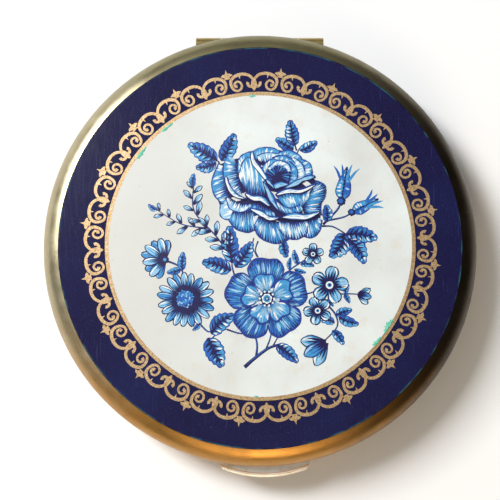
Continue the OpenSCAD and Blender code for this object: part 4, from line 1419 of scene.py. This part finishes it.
def makePuffSeam(pad):
    # rolled seam where the two discs of velour are sewn together
    low, high = boxMm("puff_pad")
    middle = (low[2] + high[2]) / 2
    stitches = 180
    steps = 3 * stitches
    path = [Vector((*fromPolar((0, 0), 2 * math.pi * k / steps, high[0] - 0.32), middle))
            for k in range(steps)]
    verts, faces = sweepTube(path, lambda t: 0.2 + 0.05 * math.sin(2 * math.pi * stitches * t), 8,
                             closed=True)
    newPiece("puffSeam", verts, faces, pad.data.materials[:], "base")


ribbon = {"thick": 0.1, "arch": 0.16, "samples": 61, "across": 8, "stitches": 9, "stitchRow": 7.8,
          "stitchR": 0.06}


def makeRibbon(pad):
    # satin loop for two fingers, turned under and sewn at both ends
    low, high = boxMm("puff_ribbon")
    shaped = pad.evaluated_get(bpy.context.evaluated_depsgraph_get())
    halfW, halfL = high[1] - 0.02, high[0] - 0.1

    def topOfPad(x, y):
        found, spot = shaped.ray_cast(Vector((x, y, 20)) * mm, Vector((0, 0, -1)))[:2]
        return spot.z / mm if found else low[2] - 0.5

    def heightAt(x, y):
        t = x / halfL
        ripple = 0.02 * math.sin(x * 1.3 + y * 0.4) * (1 - abs(t))
        return min(topOfPad(x, y) + 0.05 + ribbon["arch"] * (1 - t * t) + ripple,
                   high[2] - ribbon["thick"] - 0.02)

    verts, faces = [], []
    samples, across = ribbon["samples"], ribbon["across"]
    for lift in (0, ribbon["thick"]):
        for i in range(samples):
            x = halfL * (2 * i / (samples - 1) - 1)
            for j in range(across + 1):
                y = halfW * (2 * j / across - 1) * (1 - 0.03 * math.cos(math.pi * x / halfL / 2))
                verts.append(Vector((x, y, heightAt(x, y) + lift)) * mm)
    row, sheetSize = across + 1, samples * (across + 1)
    for i in range(samples - 1):
        for j in range(across):
            a = i * row + j
            faces.append((a, a + 1, a + row + 1, a + row))
            faces.append(tuple(sheetSize + v for v in (a + row, a + row + 1, a + 1, a)))
    rim = list(range(row)) + [i * row + across for i in range(1, samples)]
    rim += [(samples - 1) * row + j for j in reversed(range(across))]
    rim += [i * row for i in reversed(range(1, samples - 1))]
    for i, a in enumerate(rim):
        b = rim[(i + 1) % len(rim)]
        faces.append((b, a, a + sheetSize, b + sheetSize))
    piece = newPiece("puffRibbon", verts, faces, [satinWeave()], "base")
    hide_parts("puff_ribbon")

    stitchVerts, stitchFaces = [], []
    for side in (-1, 1):
        for k in range(ribbon["stitches"]):
            y = ribbon["stitchRow"] * (k / (ribbon["stitches"] - 1) - 0.5)
            x0, x1 = side * (halfL - 1.0), side * (halfL - 1.75)
            z0, z1 = heightAt(x0, y) + ribbon["thick"], heightAt(x1, y) + ribbon["thick"]
            path = [Vector((x0, y, z0 - 0.03)), Vector((x0 * 0.6 + x1 * 0.4, y + 0.05, z0 + 0.05)),
                    Vector((x1, y + 0.12, z1 - 0.03))]
            verts, faces = sweepTube(curveThrough(path, 7), ribbon["stitchR"], 6)
            start = len(stitchVerts)
            stitchVerts += verts
            stitchFaces += [tuple(start + v for v in face) for face in faces]
    stitches = newPiece("ribbonStitches", stitchVerts, stitchFaces, piece.data.materials[:], "base")


spring = {
    "axisInset": 0.73, "coilR": 0.57, "wireR": 0.13, "turns": 10, "halfWidth": 1.7, "legLength": 2.1,
    "lowerLeg": 216.5, "upperLeg": 200.3,    # where the legs leave the coil, in degrees
}


def makeSpring():
    # torsion spring: a leg on the tray, ten close turns round the pin, and a leg under the inner lid
    low, high = boxMm("inner_lid_spring")
    axisY, axisZ = high[1] - spring["axisInset"], (low[2] + high[2]) / 2
    start, end = math.radians(spring["lowerLeg"]), math.radians(spring["upperLeg"])
    total = 2 * math.pi * spring["turns"] + end - start
    steps = 24 * spring["turns"]
    coil = []
    for i in range(steps + 1):
        a = start + total * i / steps
        x = spring["halfWidth"] * (2 * i / steps - 1)
        coil.append(Vector((x, axisY + spring["coilR"] * math.cos(a),
                            axisZ + spring["coilR"] * math.sin(a))))
    first = [coil[0] + Vector((0, -spring["legLength"] * t, -0.012 * t)) for t in (1, 0.66, 0.33)]
    final = [coil[-1] + Vector((0, -spring["legLength"] * t, 0)) for t in (0.33, 0.66, 1)]
    verts, faces = sweepTube(first + coil + final, spring["wireR"])
    piece = newPiece("torsionSpring", verts, faces, [nodeFinish["catch_leaf"]], "base")
    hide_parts("inner_lid_spring")


makePowder()
makeNet()
pad = makePuff()
makePuffSeam(pad)
makeRibbon(pad)
makeSpring()
print("powder, sifter gauze, puff and spring made")
